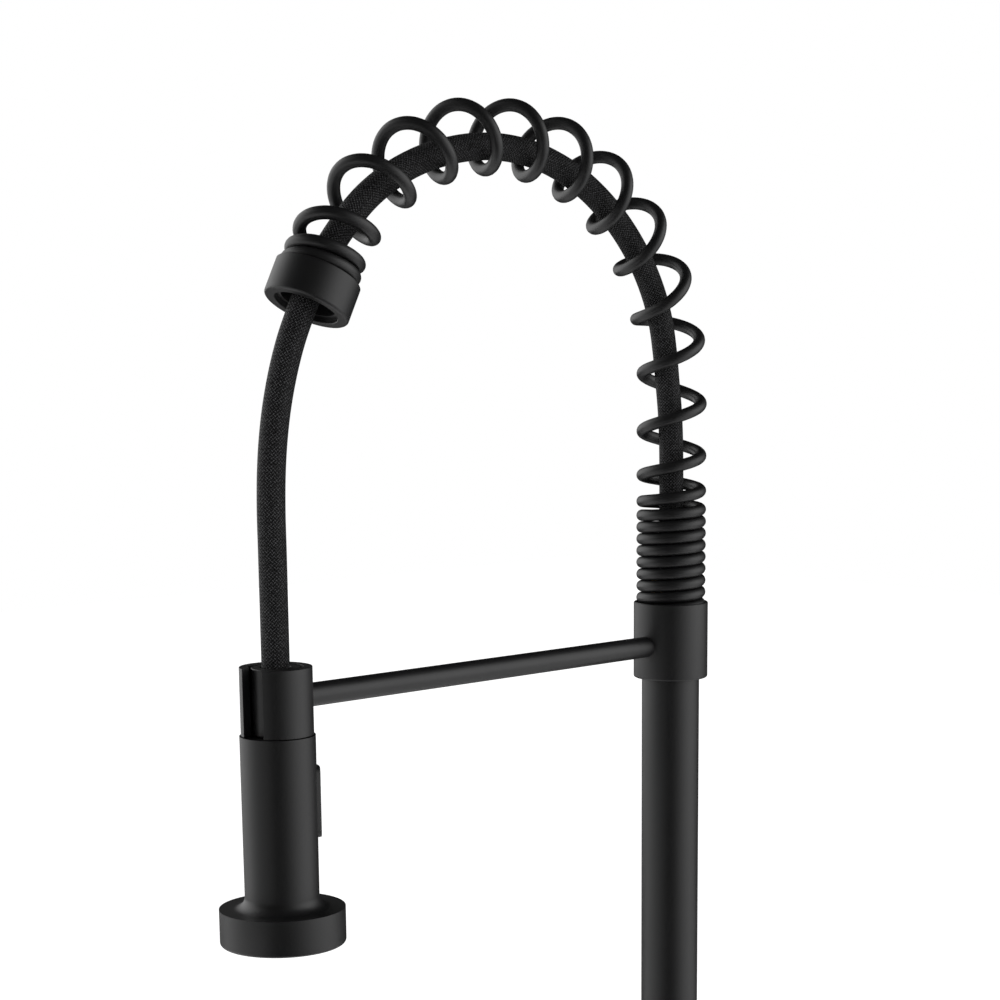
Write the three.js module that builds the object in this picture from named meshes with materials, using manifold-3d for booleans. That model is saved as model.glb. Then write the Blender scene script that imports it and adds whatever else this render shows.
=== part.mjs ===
// Pull-down pre-rinse kitchen faucet: a deck-mounted mixer with a side lever, a tall riser,
// an open coil spring arched over a braided hose, and a spray head held in a side dock.
// Millimetres. +Z is up, the deck's top face is z = 0, the spout reaches along -Y and the
// lever stands out along +X.
import * as THREE from "three";
import { mergeVertices } from "three/addons/utils/BufferGeometryUtils.js";
import Module from "manifold-3d";

const wasm = await Module();
wasm.setup();

// ---------------------------------------------------------------- driving sizes
const GAP = 0.3; // clearance between two seated or running neighbours
const ROUND = 20; // facets round a large piece
const FINE = 12; // facets round a small piece
const WIDE = 28; // facets round a large outer shell
const SLIM = 8; // facets round a small hole or pin

// deck clamp
const FLANGE_RADIUS = 27;
const FLANGE_HEIGHT = 6;
const FLANGE_EDGE = 1.5;
const FLANGE_SEAL_DEPTH = 2;
const FLANGE_SEAL_WIDTH = 4;
const SHANK_RADIUS = 16;
const SHANK_WALL = 3.5;
const SHANK_BELOW = 62;
const SHANK_SCREWED = 16;
const DECK_THICKNESS = 30;
const WASHER_RADIUS = 28;
const RUBBER_THICKNESS = 3;
const STEEL_THICKNESS = 2;
const NUT_RADIUS = 27;
const NUT_THICKNESS = 9;
const NUT_STANDOFF = 3;
const JACK_RADIUS = 2.5;
const JACK_HEAD_RADIUS = 4.2;
const JACK_HEAD_HEIGHT = 4;
const JACK_TAIL = 6;

// valve body
const BODY_RADIUS = 25;
const BODY_TOP = 140;
const BODY_NECK_RADIUS = 17.6;
const BODY_SHOULDER = 9;
const BODY_LAND = 2;
const INLET_RADIUS = 4.2;
const INLET_SPREAD = 7;
const PORT_RADIUS = 3;
const OUTLET_RADIUS = 5;

// cartridge, set sideways in the valve body; "out" is the distance from the riser axis
const CARTRIDGE_HEIGHT = 76;
const CARTRIDGE_RADIUS = 17.4;
const CHAMBER_FLOOR = 8;
const BOSS_WALL = 3.3;
const BOSS_END = 41.5;
const BASE_PLATE = 4.7;
const PORT_SEAL_WALL = 1.2;
const PORT_SEAL_HEIGHT = 1.4;
const PORT_SEAL_WEB = 1.8;
const PORT_LOW = 5;
const PORT_HIGH = 9;
const FIXED_DISC_RADIUS = 13;
const FIXED_DISC_THICKNESS = 4;
const MOVING_DISC_RADIUS = 11.2;
const MOVING_DISC_THICKNESS = 3.5;
const MOVING_DISC_POCKET = 1.8;
const SLIDER_THICKNESS = 5;
const CARRIER_HEIGHT = 10.3;
const CARTRIDGE_WALL = 2.4;
const CARTRIDGE_LIP = 1.6;
const PIVOT_DEPTH = 3; // pivot pin below the carrier's top
const PIVOT_PIN_RADIUS = 1.5;
const STEM_WIDTH = 7;
const STEM_LENGTH = 31; // pivot to the stem's outer end
const STEM_BALL_RADIUS = 2.8;
const LIFT_DEGREES = 20; // full lift; at rest the stem hangs half of it below the cartridge axis
const NUT_MOUTH = 11.5;
const CARTRIDGE_NUT_PROUD = 2.8;

// handle
const BONNET_RADIUS = 21.3; // a dome about the pivot
const BONNET_WALL = 1.5;
const BONNET_MOUTH = 8.5;
const HUB_CLEARANCE = 0.4;
const HUB_RADIUS = 18.5;
const HUB_SKIRT_DEGREES = 44;
const HUB_DOME_CENTRE = 55; // distance out
const LEVER_RADIUS = 5;
const LEVER_LENGTH = 126;
const LEVER_DEGREES = 30; // above the cartridge axis at rest
const LEVER_SEAT = 9; // from the dome centre to the bottom of the lever's hole
const GRUB_RADIUS = 2.5;
const HUB_SCREW_OUT = 59;
const HUB_SCREW_LENGTH = 6;
const HUB_PLUG_LENGTH = 3;

// swivel and riser
const RISER_RADIUS = 14;
const RISER_WALL = 2;
const SOCKET_RADIUS = 11.3;
const SOCKET_DEPTH = 36;
const SPIGOT_LENGTH = 33; // below the valve body's top
const SPIGOT_BORE = 6.5;
const SPIGOT_PLUG = 12.8; // above its flange, inside the riser
const SPIGOT_FLANGE = 3;
const SLIP_RING_THICKNESS = 1.6;
const O_RING_GROOVE = 3;
const O_RING_DEPTH = 2;
const O_RING_PLACES = [27, 20]; // below the valve body's top
const LOCK_GROOVE_BELOW_TOP = 13;
const LOCK_SCREW_RADIUS = 2.7;
const LOCK_GROOVE_DEPTH = 1.6;

// collar, arm and dock; heights in this block are from the arm's axis
const ARM_HEIGHT = 412; // arm axis above the deck
const ARM_RADIUS = 5;
const ARM_SEAT = 2.5;
const REACH = 242;
const COLLAR_BELOW = 16.1;
const COLLAR_ABOVE = 20.7;
const COLLAR_EDGE = 1;
const CUP_DEPTH = 7.9;
const CUP_RIM = 1.1;
const COLLAR_SCREW_BELOW = 9;
const DOCK_BORE = 11.2;
const DOCK_WALL = 3.8;
const DOCK_BELOW = 14.5;
const DOCK_ABOVE = 13.7;
const DOCK_SLOT = 11;
const DOCK_SLOT_TURN = 8; // degrees from straight ahead toward +X

// overhead spring
const WIRE_RADIUS = 2.6;
const SPRING_RADIUS = 14; // axis to wire centre
const CLOSED_PITCH = 5.66;
const OPEN_PITCH = 28.7;
const CLOSED_TURNS = 8.31;
const OPENING_TURNS = 3.95;
const OPEN_TURNS = 9.06;
const CLOSING_TURNS = 1.3;
const END_TURNS = 2.4;
const CURL_STEPS = 8;
const WIRE_SIDES = 5;
const ARCH_STRAIGHT = 127.5; // spring axis above the arm axis before it bends
const ARCH_RISE_RADIUS = 94;
const ARCH_CROWN_RADIUS = 118;
const ARCH_FALL_RADIUS = 43;
const ARCH_BENDS = [
  { radius: ARCH_RISE_RADIUS, degrees: 36 },
  { radius: ARCH_CROWN_RADIUS, degrees: 104.8 },
  { radius: ARCH_FALL_RADIUS, degrees: 12 },
];
const STOP_WIDTH = 3;

// ring at the spring's free end
const RING_RADIUS = 18;
const RING_LENGTH = 15.5;
const RING_WEB = 5;
const RING_WEB_BORE = 11.6;
const RING_BORE = 13.5;
const RING_EDGE = 1.2;

// hose and its ends
const HOSE_RADIUS = 5.8;
const HOSE_SIDES = 10;
const HOSE_STEPS = 34;
const FERRULE_WALL = 0.8;
const FERRULE_FLANGE = 1.3;
const FERRULE_FLOOR = 1.7;
const FERRULE_BORE = 3.5;
const WASHER_THICKNESS = 1.7;
const STUB_HEIGHT = 15.2; // hose stub above the riser's top
const STUB_BORE = 4.5;
const ADAPTER_PLUG = 20;
const UPPER_FERRULE_LENGTH = 21.7;
const HOSE_NUT_WALL = 1.3;
const HOSE_NUT_SKIRT = 8;
const HOSE_NUT_LIP = 2;
const LOWER_FERRULE_LENGTH = 17.9;

// spray head; heights are from the arm axis, and the button looks along the head's own +X
const HEAD_RADIUS = 15.65;
const HEAD_FOOT_RADIUS = 15.5;
const HEAD_WALL = 2.4;
const HEAD_TOP_WALL = 2.7;
const SKIRT_RADIUS = 26.3;
const SKIRT_TOP = -87.7;
const SKIRT_BOTTOM = -103.2;
const SKIRT_WALL = 2.8;
const SKIRT_FILLET = 5;
const SKIRT_EDGE = 1.5;
const BUTTON_AZIMUTH = 75; // degrees from +X toward +Y
const NECK_RADIUS = 10.2;
const NECK_TOP = 13.4;
const NECK_LIP = 2;
const NECK_THREAD_RADIUS = 8;
const NECK_THREAD_LENGTH = 9.5;
const NECK_BORE = 4.5;
const NECK_FLOOR = -11;
const NECK_NUT_HEIGHT = 4.5;
const NECK_NUT_RADIUS = 12.4;
const CORE_RADIUS = 8.5;
const CORE_FOOT_RADIUS = 12.8;
const CORE_FOOT_TOP = -62;
const CORE_FLARE = 4;
const CORE_BORE = 4.5;
const CORE_DISC_THICKNESS = 3;
const VALVE_SEAT_RADIUS = 5.2;
const VALVE_LENGTH = 11.4;
const VALVE_BORE = 2.5;
const BUTTON_HEIGHT = 30.4;
const BUTTON_WIDTH = 15;
const BUTTON_CORNER = 4;
const BUTTON_PROUD = 1.5;
const BUTTON_DEPTH = 4.35; // from its crown to its inner face
const BUTTON_MIDDLE = -43.8;
const BUTTON_SIDE_GAP = 0.4;
const BUTTON_END_GAP = 0.6;
const BUTTON_PIN_RADIUS = 0.9;
const BUTTON_PIN_OUT = 10.4; // pin axis from the head's axis
const BUTTON_PIN_HALF = 7.7;
const BUTTON_LUG_HALF = 4.5;
const EAR_WIDTH = 2.4;
const EAR_HALF_HEIGHT = 3;
const PLUNGER_RADIUS = 1.6;
const PLUNGER_DROP = 10; // plunger axis below the pin
const PLUNGER_HEAD_RADIUS = 2.6;
const PLUNGER_HEAD = 0.7;
const PLUNGER_END = -6;
const PLUNGER_BOSS_RADIUS = 4.4;
const PLUNGER_BOSS_END = 10.4;
const PLUNGER_SEAL_DEPTH = 1.8;
const FACE_RING_WALL = 2.4;
const FACE_RING_LIP = 1.7;
const MAT_THICKNESS = 3;
const NOZZLE_RADIUS = 1;
const NOZZLE_LENGTH = 2;
const NOZZLE_INNER_CIRCLE = 12.6;
const NOZZLE_OUTER_CIRCLE = 16.6;
const NOZZLE_RINGS = [
  { radius: NOZZLE_INNER_CIRCLE, count: 8 },
  { radius: NOZZLE_OUTER_CIRCLE, count: 12 },
];
const AERATOR_RADIUS = 9.6;
const AERATOR_WALL = 2.1;
const AERATOR_FOOT = 0.5; // its foot above the skirt's bottom edge
const SCREEN_THICKNESS = 1;
const SCREEN_HOLE = 1.4;

// hose centreline in the plane x = 0, chosen by hand: reach from the riser axis, then
// height from the arm axis
const HOSE_ROUTE = [
  [0, 34], [0, 60], [0, 84], [0.4, 100], [1.4, 113], [3.1, 126], [5, 139.5],
  [8, 153.5], [13.2, 166.7], [21.6, 180.6], [32.2, 193.1], [44.5, 203.9], [58.2, 212.9],
  [73.1, 219.8], [89.7, 224.7], [106.9, 227], [124.2, 226.7], [141.4, 224], [158.2, 219.2],
  [174.2, 212], [189.1, 202.2], [201.8, 190], [212.1, 177.4], [219, 166], [224.5, 155.6],
  [229.5, 145], [234, 132.5], [237.6, 119], [240, 105.5], [241.4, 92], [242, 78],
  [242, 60], [242, 30], [242, -5.5],
];

// ---------------------------------------------------------------- sizes worked out
const radians = THREE.MathUtils.degToRad;
const bodyBottom = FLANGE_HEIGHT + GAP;
const shankBore = SHANK_RADIUS - SHANK_WALL;
const shankHole = SHANK_RADIUS + GAP;
const recessRoof = bodyBottom + SHANK_SCREWED;
const chamberRadius = CARTRIDGE_RADIUS + GAP;
const bossRadius = chamberRadius + BOSS_WALL;
const socketFloor = BODY_TOP - SOCKET_DEPTH;
const riserBore = RISER_RADIUS - RISER_WALL;
const slipRingBottom = BODY_TOP + GAP;
const spigotFlangeBottom = slipRingBottom + SLIP_RING_THICKNESS + GAP;
const riserBottom = spigotFlangeBottom + SPIGOT_FLANGE + GAP;
const spigotRadius = SOCKET_RADIUS - GAP;
const cupRadius = SPRING_RADIUS + WIRE_RADIUS + GAP;
const collarRadius = cupRadius + CUP_RIM;
const cupFloor = COLLAR_ABOVE - CUP_DEPTH;
const riserTop = cupFloor - GAP;
const dockRadius = DOCK_BORE + DOCK_WALL;
const headTop = -DOCK_BELOW - GAP;
const ferruleRadius = HOSE_RADIUS + GAP + FERRULE_WALL;

// distances out along the cartridge
const plateTop = CHAMBER_FLOOR + GAP + BASE_PLATE;
const fixedDiscFloor = plateTop + GAP;
const movingDiscFloor = fixedDiscFloor + FIXED_DISC_THICKNESS + GAP;
const sliderFloor = movingDiscFloor + MOVING_DISC_THICKNESS + GAP;
const carrierFloor = sliderFloor + SLIDER_THICKNESS + GAP;
const carrierTop = carrierFloor + CARRIER_HEIGHT;
const pivotOut = carrierTop - PIVOT_DEPTH;
const ballOut = sliderFloor + GAP + STEM_BALL_RADIUS - 0.1 * GAP;
const stemArm = pivotOut - ballOut;
const restTilt = radians(LIFT_DEGREES / 2);
const discOffset = stemArm * Math.sin(restTilt);

// ---------------------------------------------------------------- shape helpers
/** One closed skin: positions only, shared corners merged, slivers dropped, faces outward. */
function skin(geometry) {
  const bare = geometry.clone();
  bare.deleteAttribute("normal");
  bare.deleteAttribute("uv");
  const merged = mergeVertices(bare, 1e-4);
  const corners = merged.index.array;
  const at = merged.attributes.position;
  const kept = [];
  let volume = 0;
  const [a, b, c] = [new THREE.Vector3(), new THREE.Vector3(), new THREE.Vector3()];
  for (let i = 0; i < corners.length; i += 3) {
    const [p, q, r] = [corners[i], corners[i + 1], corners[i + 2]];
    if (p === q || q === r || r === p) continue;
    kept.push(p, q, r);
    a.fromBufferAttribute(at, p);
    b.fromBufferAttribute(at, q);
    c.fromBufferAttribute(at, r);
    volume += a.dot(b.cross(c));
  }
  if (volume < 0) kept.reverse();
  merged.setIndex(kept);
  return merged;
}

function toSolid(geometry) {
  const closed = skin(geometry);
  const mesh = new wasm.Mesh({
    numProp: 3,
    vertProperties: closed.attributes.position.array,
    triVerts: Uint32Array.from(closed.index.array),
  });
  return new wasm.Manifold(mesh);
}

function fromSolid(solid) {
  const mesh = solid.getMesh();
  const geometry = new THREE.BufferGeometry();
  geometry.setAttribute("position", new THREE.BufferAttribute(mesh.vertProperties.slice(), 3));
  geometry.setIndex(Array.from(mesh.triVerts));
  return geometry;
}

function cut(blank, ...tools) {
  let solid = toSolid(blank);
  for (const tool of tools) solid = solid.subtract(toSolid(tool));
  return fromSolid(solid);
}

function join(first, ...others) {
  let solid = toSolid(first);
  for (const other of others) solid = solid.add(toSolid(other));
  return fromSolid(solid);
}

function common(first, second) {
  return fromSolid(toSolid(first).intersect(toSolid(second)));
}

/** Turned about +Z; the profile is [radius, height] points and closes on itself. */
function turned(profile, sides = ROUND) {
  const points = [...profile, profile[0]].map(([r, z]) => new THREE.Vector2(r, z));
  return new THREE.LatheGeometry(points, sides).rotateX(Math.PI / 2);
}

function tube(inner, outer, low, high, sides = ROUND) {
  return turned([[inner, low], [outer, low], [outer, high], [inner, high]], sides);
}

function rod(radius, low, high, sides = FINE) {
  const bar = new THREE.CylinderGeometry(radius, radius, high - low, sides);
  return bar.rotateX(Math.PI / 2).translate(0, 0, (low + high) / 2);
}

function block(x0, x1, y0, y1, z0, z1) {
  const box = new THREE.BoxGeometry(x1 - x0, y1 - y0, z1 - z0);
  return box.translate((x0 + x1) / 2, (y0 + y1) / 2, (z0 + z1) / 2);
}

/** Turns a shape made along +Z to point along +X, with its own +X turned down to -Z. */
function alongX(geometry) {
  return geometry.rotateY(Math.PI / 2);
}

/** Turns a shape made along +Z to point along +Y. */
function alongY(geometry) {
  return geometry.rotateX(-Math.PI / 2);
}

/** A ring of round section: an elastic seal lying about +Z. */
function oRing(inner, outer, middle, sides = ROUND) {
  const thick = (outer - inner) / 2;
  return new THREE.TorusGeometry(inner + thick, thick, 6, sides).translate(0, 0, middle);
}

/** Points [radius, height] on an arc about [0, centre], angles in degrees from +Z. */
function dome(radius, centre, fromDegrees, toDegrees, steps) {
  return Array.from({ length: steps + 1 }, (_, i) => {
    const angle = radians(fromDegrees + ((toDegrees - fromDegrees) * i) / steps);
    return [radius * Math.sin(angle), centre + radius * Math.cos(angle)];
  });
}

// ---------------------------------------------------------------- finishes
function finish(color, roughness, metalness) {
  return () => new THREE.MeshStandardMaterial({ color, roughness, metalness, flatShading: true });
}
const blackCoat = finish(0x232324, 0.55, 0.3);
const brass = finish(0xb8985a, 0.35, 0.9);
const steel = finish(0xb4b6b8, 0.35, 0.9);
const rubber = finish(0x1a1a1a, 0.85, 0);
const whitePlastic = finish(0xe6e4de, 0.5, 0);
const greyPlastic = finish(0x6f7274, 0.5, 0);
const ceramic = finish(0xf2efe8, 0.25, 0);
const braid = finish(0x161616, 0.7, 0);

const faucet = new THREE.Group();

function frame(parent, position = [0, 0, 0], turn = [0, 0, 0]) {
  const group = new THREE.Group();
  group.position.set(...position);
  group.rotation.set(...turn);
  parent.add(group);
  return group;
}

function piece(parent, name, geometry, material) {
  const mesh = new THREE.Mesh(skin(geometry), material());
  mesh.name = name;
  parent.add(mesh);
  return mesh;
}

// ---------------------------------------------------------------- deck clamp
function addDeckClamp(parent) {
  const sealOuter = FLANGE_RADIUS - FLANGE_EDGE - 2;
  const sealInner = sealOuter - FLANGE_SEAL_WIDTH;
  const disc = turned([
    [shankHole, 0],
    [FLANGE_RADIUS, 0],
    [FLANGE_RADIUS, FLANGE_HEIGHT - FLANGE_EDGE],
    [FLANGE_RADIUS - FLANGE_EDGE, FLANGE_HEIGHT],
    [shankHole, FLANGE_HEIGHT],
  ]);
  const groove = tube(sealInner - GAP, sealOuter + GAP, -1, FLANGE_SEAL_DEPTH);
  piece(parent, "base_flange", cut(disc, groove), blackCoat);
  const seal = tube(sealInner, sealOuter, 0, FLANGE_SEAL_DEPTH - GAP);
  piece(parent, "flange_seal", seal, rubber);

  const shank = tube(shankBore, SHANK_RADIUS, -SHANK_BELOW, recessRoof - GAP);
  piece(parent, "threaded_shank", shank, brass);

  const rubberBottom = -DECK_THICKNESS - RUBBER_THICKNESS;
  const rubberDisc = tube(shankHole, WASHER_RADIUS, rubberBottom, -DECK_THICKNESS);
  piece(parent, "deck_washer_rubber", rubberDisc, rubber);
  const steelTop = rubberBottom - GAP;
  const steelBottom = steelTop - STEEL_THICKNESS;
  const steelDisc = tube(shankHole, WASHER_RADIUS, steelBottom, steelTop);
  piece(parent, "deck_washer_steel", steelDisc, steel);

  const nutTop = steelBottom - NUT_STANDOFF;
  const nutBottom = nutTop - NUT_THICKNESS;
  const jackPlace = (shankHole + NUT_RADIUS) / 2;
  const holes = [-1, 1].map((side) =>
    rod(JACK_RADIUS + GAP, nutBottom - 1, nutTop + 1).translate(side * jackPlace, 0, 0)
  );
  const nut = cut(tube(shankHole, NUT_RADIUS, nutBottom, nutTop), ...holes);
  piece(parent, "mounting_nut", nut, brass);
  for (const [side, name] of [[-1, "jack_screw_left"], [1, "jack_screw_right"]]) {
    const screwBottom = nutBottom - JACK_TAIL;
    const shaft = rod(JACK_RADIUS, screwBottom, steelBottom - GAP);
    const head = rod(JACK_HEAD_RADIUS, screwBottom - JACK_HEAD_HEIGHT, screwBottom + 0.01, 6);
    piece(parent, name, join(shaft, head).translate(side * jackPlace, 0, 0), steel);
  }
}

// ---------------------------------------------------------------- valve body
function addValveBody(parent) {
  const casting = turned([
    [0, bodyBottom],
    [BODY_RADIUS, bodyBottom],
    [BODY_RADIUS, BODY_TOP - BODY_LAND - BODY_SHOULDER],
    [BODY_NECK_RADIUS, BODY_TOP - BODY_LAND],
    [BODY_NECK_RADIUS, BODY_TOP],
    [0, BODY_TOP],
  ], WIDE);
  const boss = alongX(rod(bossRadius, 0, BOSS_END, WIDE)).translate(0, 0, CARTRIDGE_HEIGHT);
  const chamber = alongX(rod(chamberRadius, CHAMBER_FLOOR, BOSS_END + 1, ROUND));
  const shankRecess = rod(shankHole, bodyBottom - 1, recessRoof, ROUND);
  const socket = rod(SOCKET_RADIUS, socketFloor, BODY_TOP + 1, ROUND);
  const lowPort = CARTRIDGE_HEIGHT - PORT_LOW;
  const highPort = CARTRIDGE_HEIGHT + PORT_HIGH;
  const outletX = CHAMBER_FLOOR - 2 * OUTLET_RADIUS - 2;
  const waterways = [
    rod(OUTLET_RADIUS, highPort - PORT_RADIUS, socketFloor + 1).translate(outletX, 0, 0),
    alongX(rod(PORT_RADIUS, outletX, CHAMBER_FLOOR + 1)).translate(0, 0, highPort),
  ];
  for (const side of [-1, 1]) {
    const rise = rod(INLET_RADIUS, recessRoof - 1, lowPort + PORT_RADIUS);
    const cross = alongX(rod(PORT_RADIUS, 0, CHAMBER_FLOOR + 1));
    waterways.push(rise.translate(0, side * INLET_SPREAD, 0));
    waterways.push(cross.translate(0, side * INLET_SPREAD, lowPort));
  }
  const lockHeight = BODY_TOP - LOCK_GROOVE_BELOW_TOP;
  const lockHole = alongY(rod(LOCK_SCREW_RADIUS + GAP, 0, BODY_RADIUS + 1));
  const body = cut(
    join(casting, boss),
    chamber.translate(0, 0, CARTRIDGE_HEIGHT),
    shankRecess,
    socket,
    lockHole.translate(0, 0, lockHeight),
    ...waterways,
  );
  piece(parent, "valve_body", body, blackCoat);

  const lockTip = spigotRadius - LOCK_GROOVE_DEPTH + GAP;
  const lockScrew = alongY(rod(LOCK_SCREW_RADIUS, lockTip, BODY_RADIUS - 3));
  piece(parent, "swivel_lock_screw", lockScrew.translate(0, 0, lockHeight), steel);
  const slipRing = tube(SOCKET_RADIUS, RISER_RADIUS, slipRingBottom,
    slipRingBottom + SLIP_RING_THICKNESS);
  piece(parent, "slip_ring", slipRing, whitePlastic);
}

// ---------------------------------------------------------------- cartridge
/** The three port centres as [up, side] from the cartridge axis. */
const portPlaces = [[PORT_HIGH, 0], [-PORT_LOW, INLET_SPREAD], [-PORT_LOW, -INLET_SPREAD]];

/** Bars through all three ports; made along +Z, where -X becomes up once turned. */
function portBars(radius, low, high) {
  return portPlaces.map(([up, side]) => rod(radius, low, high, SLIM).translate(-up, side, 0));
}

/** Three discs joined by webs to the cartridge axis: the one-piece seal's outline. */
function portGasket(radius, web, low, high) {
  const webs = portPlaces.map(([up, side]) => {
    const reach = Math.hypot(up, side);
    const bar = block(0, reach, -web / 2, web / 2, low, high);
    return bar.rotateZ(Math.atan2(side, -up));
  });
  return join(...portBars(radius, low, high), ...webs);
}

function addCartridge(parent) {
  // in this frame +Z runs out along the cartridge and -X is up
  const axis = frame(parent, [0, 0, CARTRIDGE_HEIGHT], [0, Math.PI / 2, 0]);
  const sealOuter = PORT_RADIUS + PORT_SEAL_WALL;
  const plateFloor = CHAMBER_FLOOR + GAP;
  const sealTop = plateFloor + PORT_SEAL_HEIGHT;
  const sealRecess = portGasket(sealOuter + GAP, PORT_SEAL_WEB + 2 * GAP, plateFloor - 1, sealTop + GAP);
  const plate = cut(
    rod(CARTRIDGE_RADIUS, plateFloor, plateTop, ROUND),
    sealRecess,
    ...portBars(PORT_RADIUS, plateFloor - 1, plateTop + 1),
  );
  piece(axis, "cartridge_base", plate, whitePlastic);
  const seal = cut(
    portGasket(sealOuter, PORT_SEAL_WEB, plateFloor, sealTop),
    ...portBars(PORT_RADIUS, plateFloor - 1, sealTop + 1),
  );
  piece(axis, "port_seal", seal, rubber);

  const fixedTop = fixedDiscFloor + FIXED_DISC_THICKNESS;
  const fixedDisc = cut(
    rod(FIXED_DISC_RADIUS, fixedDiscFloor, fixedTop, ROUND),
    ...portBars(PORT_RADIUS, fixedDiscFloor - 1, fixedTop + 1),
  );
  piece(axis, "fixed_disc", fixedDisc, ceramic);

  const movingTop = movingDiscFloor + MOVING_DISC_THICKNESS;
  const pocket = rod(MOVING_DISC_RADIUS - 3, movingDiscFloor - 1,
    movingDiscFloor + MOVING_DISC_POCKET);
  const movingDisc = cut(rod(MOVING_DISC_RADIUS, movingDiscFloor, movingTop, ROUND), pocket);
  piece(axis, "moving_disc", movingDisc.translate(-discOffset, 0, 0), ceramic);
  const slider = tube(STEM_BALL_RADIUS + GAP, MOVING_DISC_RADIUS, sliderFloor,
    sliderFloor + SLIDER_THICKNESS);
  piece(axis, "disc_slider", slider.translate(-discOffset, 0, 0), greyPlastic);

  const shellBore = CARTRIDGE_RADIUS - CARTRIDGE_WALL;
  const lipFloor = carrierTop + GAP;
  const shell = turned([
    [shellBore, plateTop + GAP],
    [CARTRIDGE_RADIUS, plateTop + GAP],
    [CARTRIDGE_RADIUS, lipFloor + CARTRIDGE_LIP],
    [NUT_MOUTH, lipFloor + CARTRIDGE_LIP],
    [NUT_MOUTH, lipFloor],
    [shellBore, lipFloor],
  ]);
  piece(axis, "cartridge_shell", shell, whitePlastic);

  const slotHalf = STEM_WIDTH / 2 + GAP;
  const swing = (pivotOut - carrierFloor) * Math.tan(restTilt);
  const carrier = cut(
    rod(shellBore - GAP, carrierFloor, carrierTop, ROUND),
    block(-slotHalf - swing, slotHalf + swing, -slotHalf, slotHalf,
      carrierFloor - 1, carrierTop + 1),
    alongY(rod(PIVOT_PIN_RADIUS + GAP, -CARTRIDGE_RADIUS, CARTRIDGE_RADIUS, SLIM))
      .translate(0, 0, pivotOut),
  );
  piece(axis, "stem_carrier", carrier, greyPlastic);
  const pinHalf = shellBore - 4 * GAP;
  const pin = alongY(rod(PIVOT_PIN_RADIUS, -pinHalf, pinHalf, SLIM));
  piece(axis, "stem_pin", pin.translate(0, 0, pivotOut), steel);

  const nutFloor = lipFloor + CARTRIDGE_LIP + GAP;
  const nut = turned([
    [NUT_MOUTH, nutFloor],
    [CARTRIDGE_RADIUS, nutFloor],
    [CARTRIDGE_RADIUS, BOSS_END],
    [CARTRIDGE_RADIUS - 2, BOSS_END],
    [CARTRIDGE_RADIUS - 2, BOSS_END + CARTRIDGE_NUT_PROUD],
    [NUT_MOUTH, BOSS_END + CARTRIDGE_NUT_PROUD],
  ]);
  piece(axis, "cartridge_nut", nut, brass);
  return axis;
}

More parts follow.
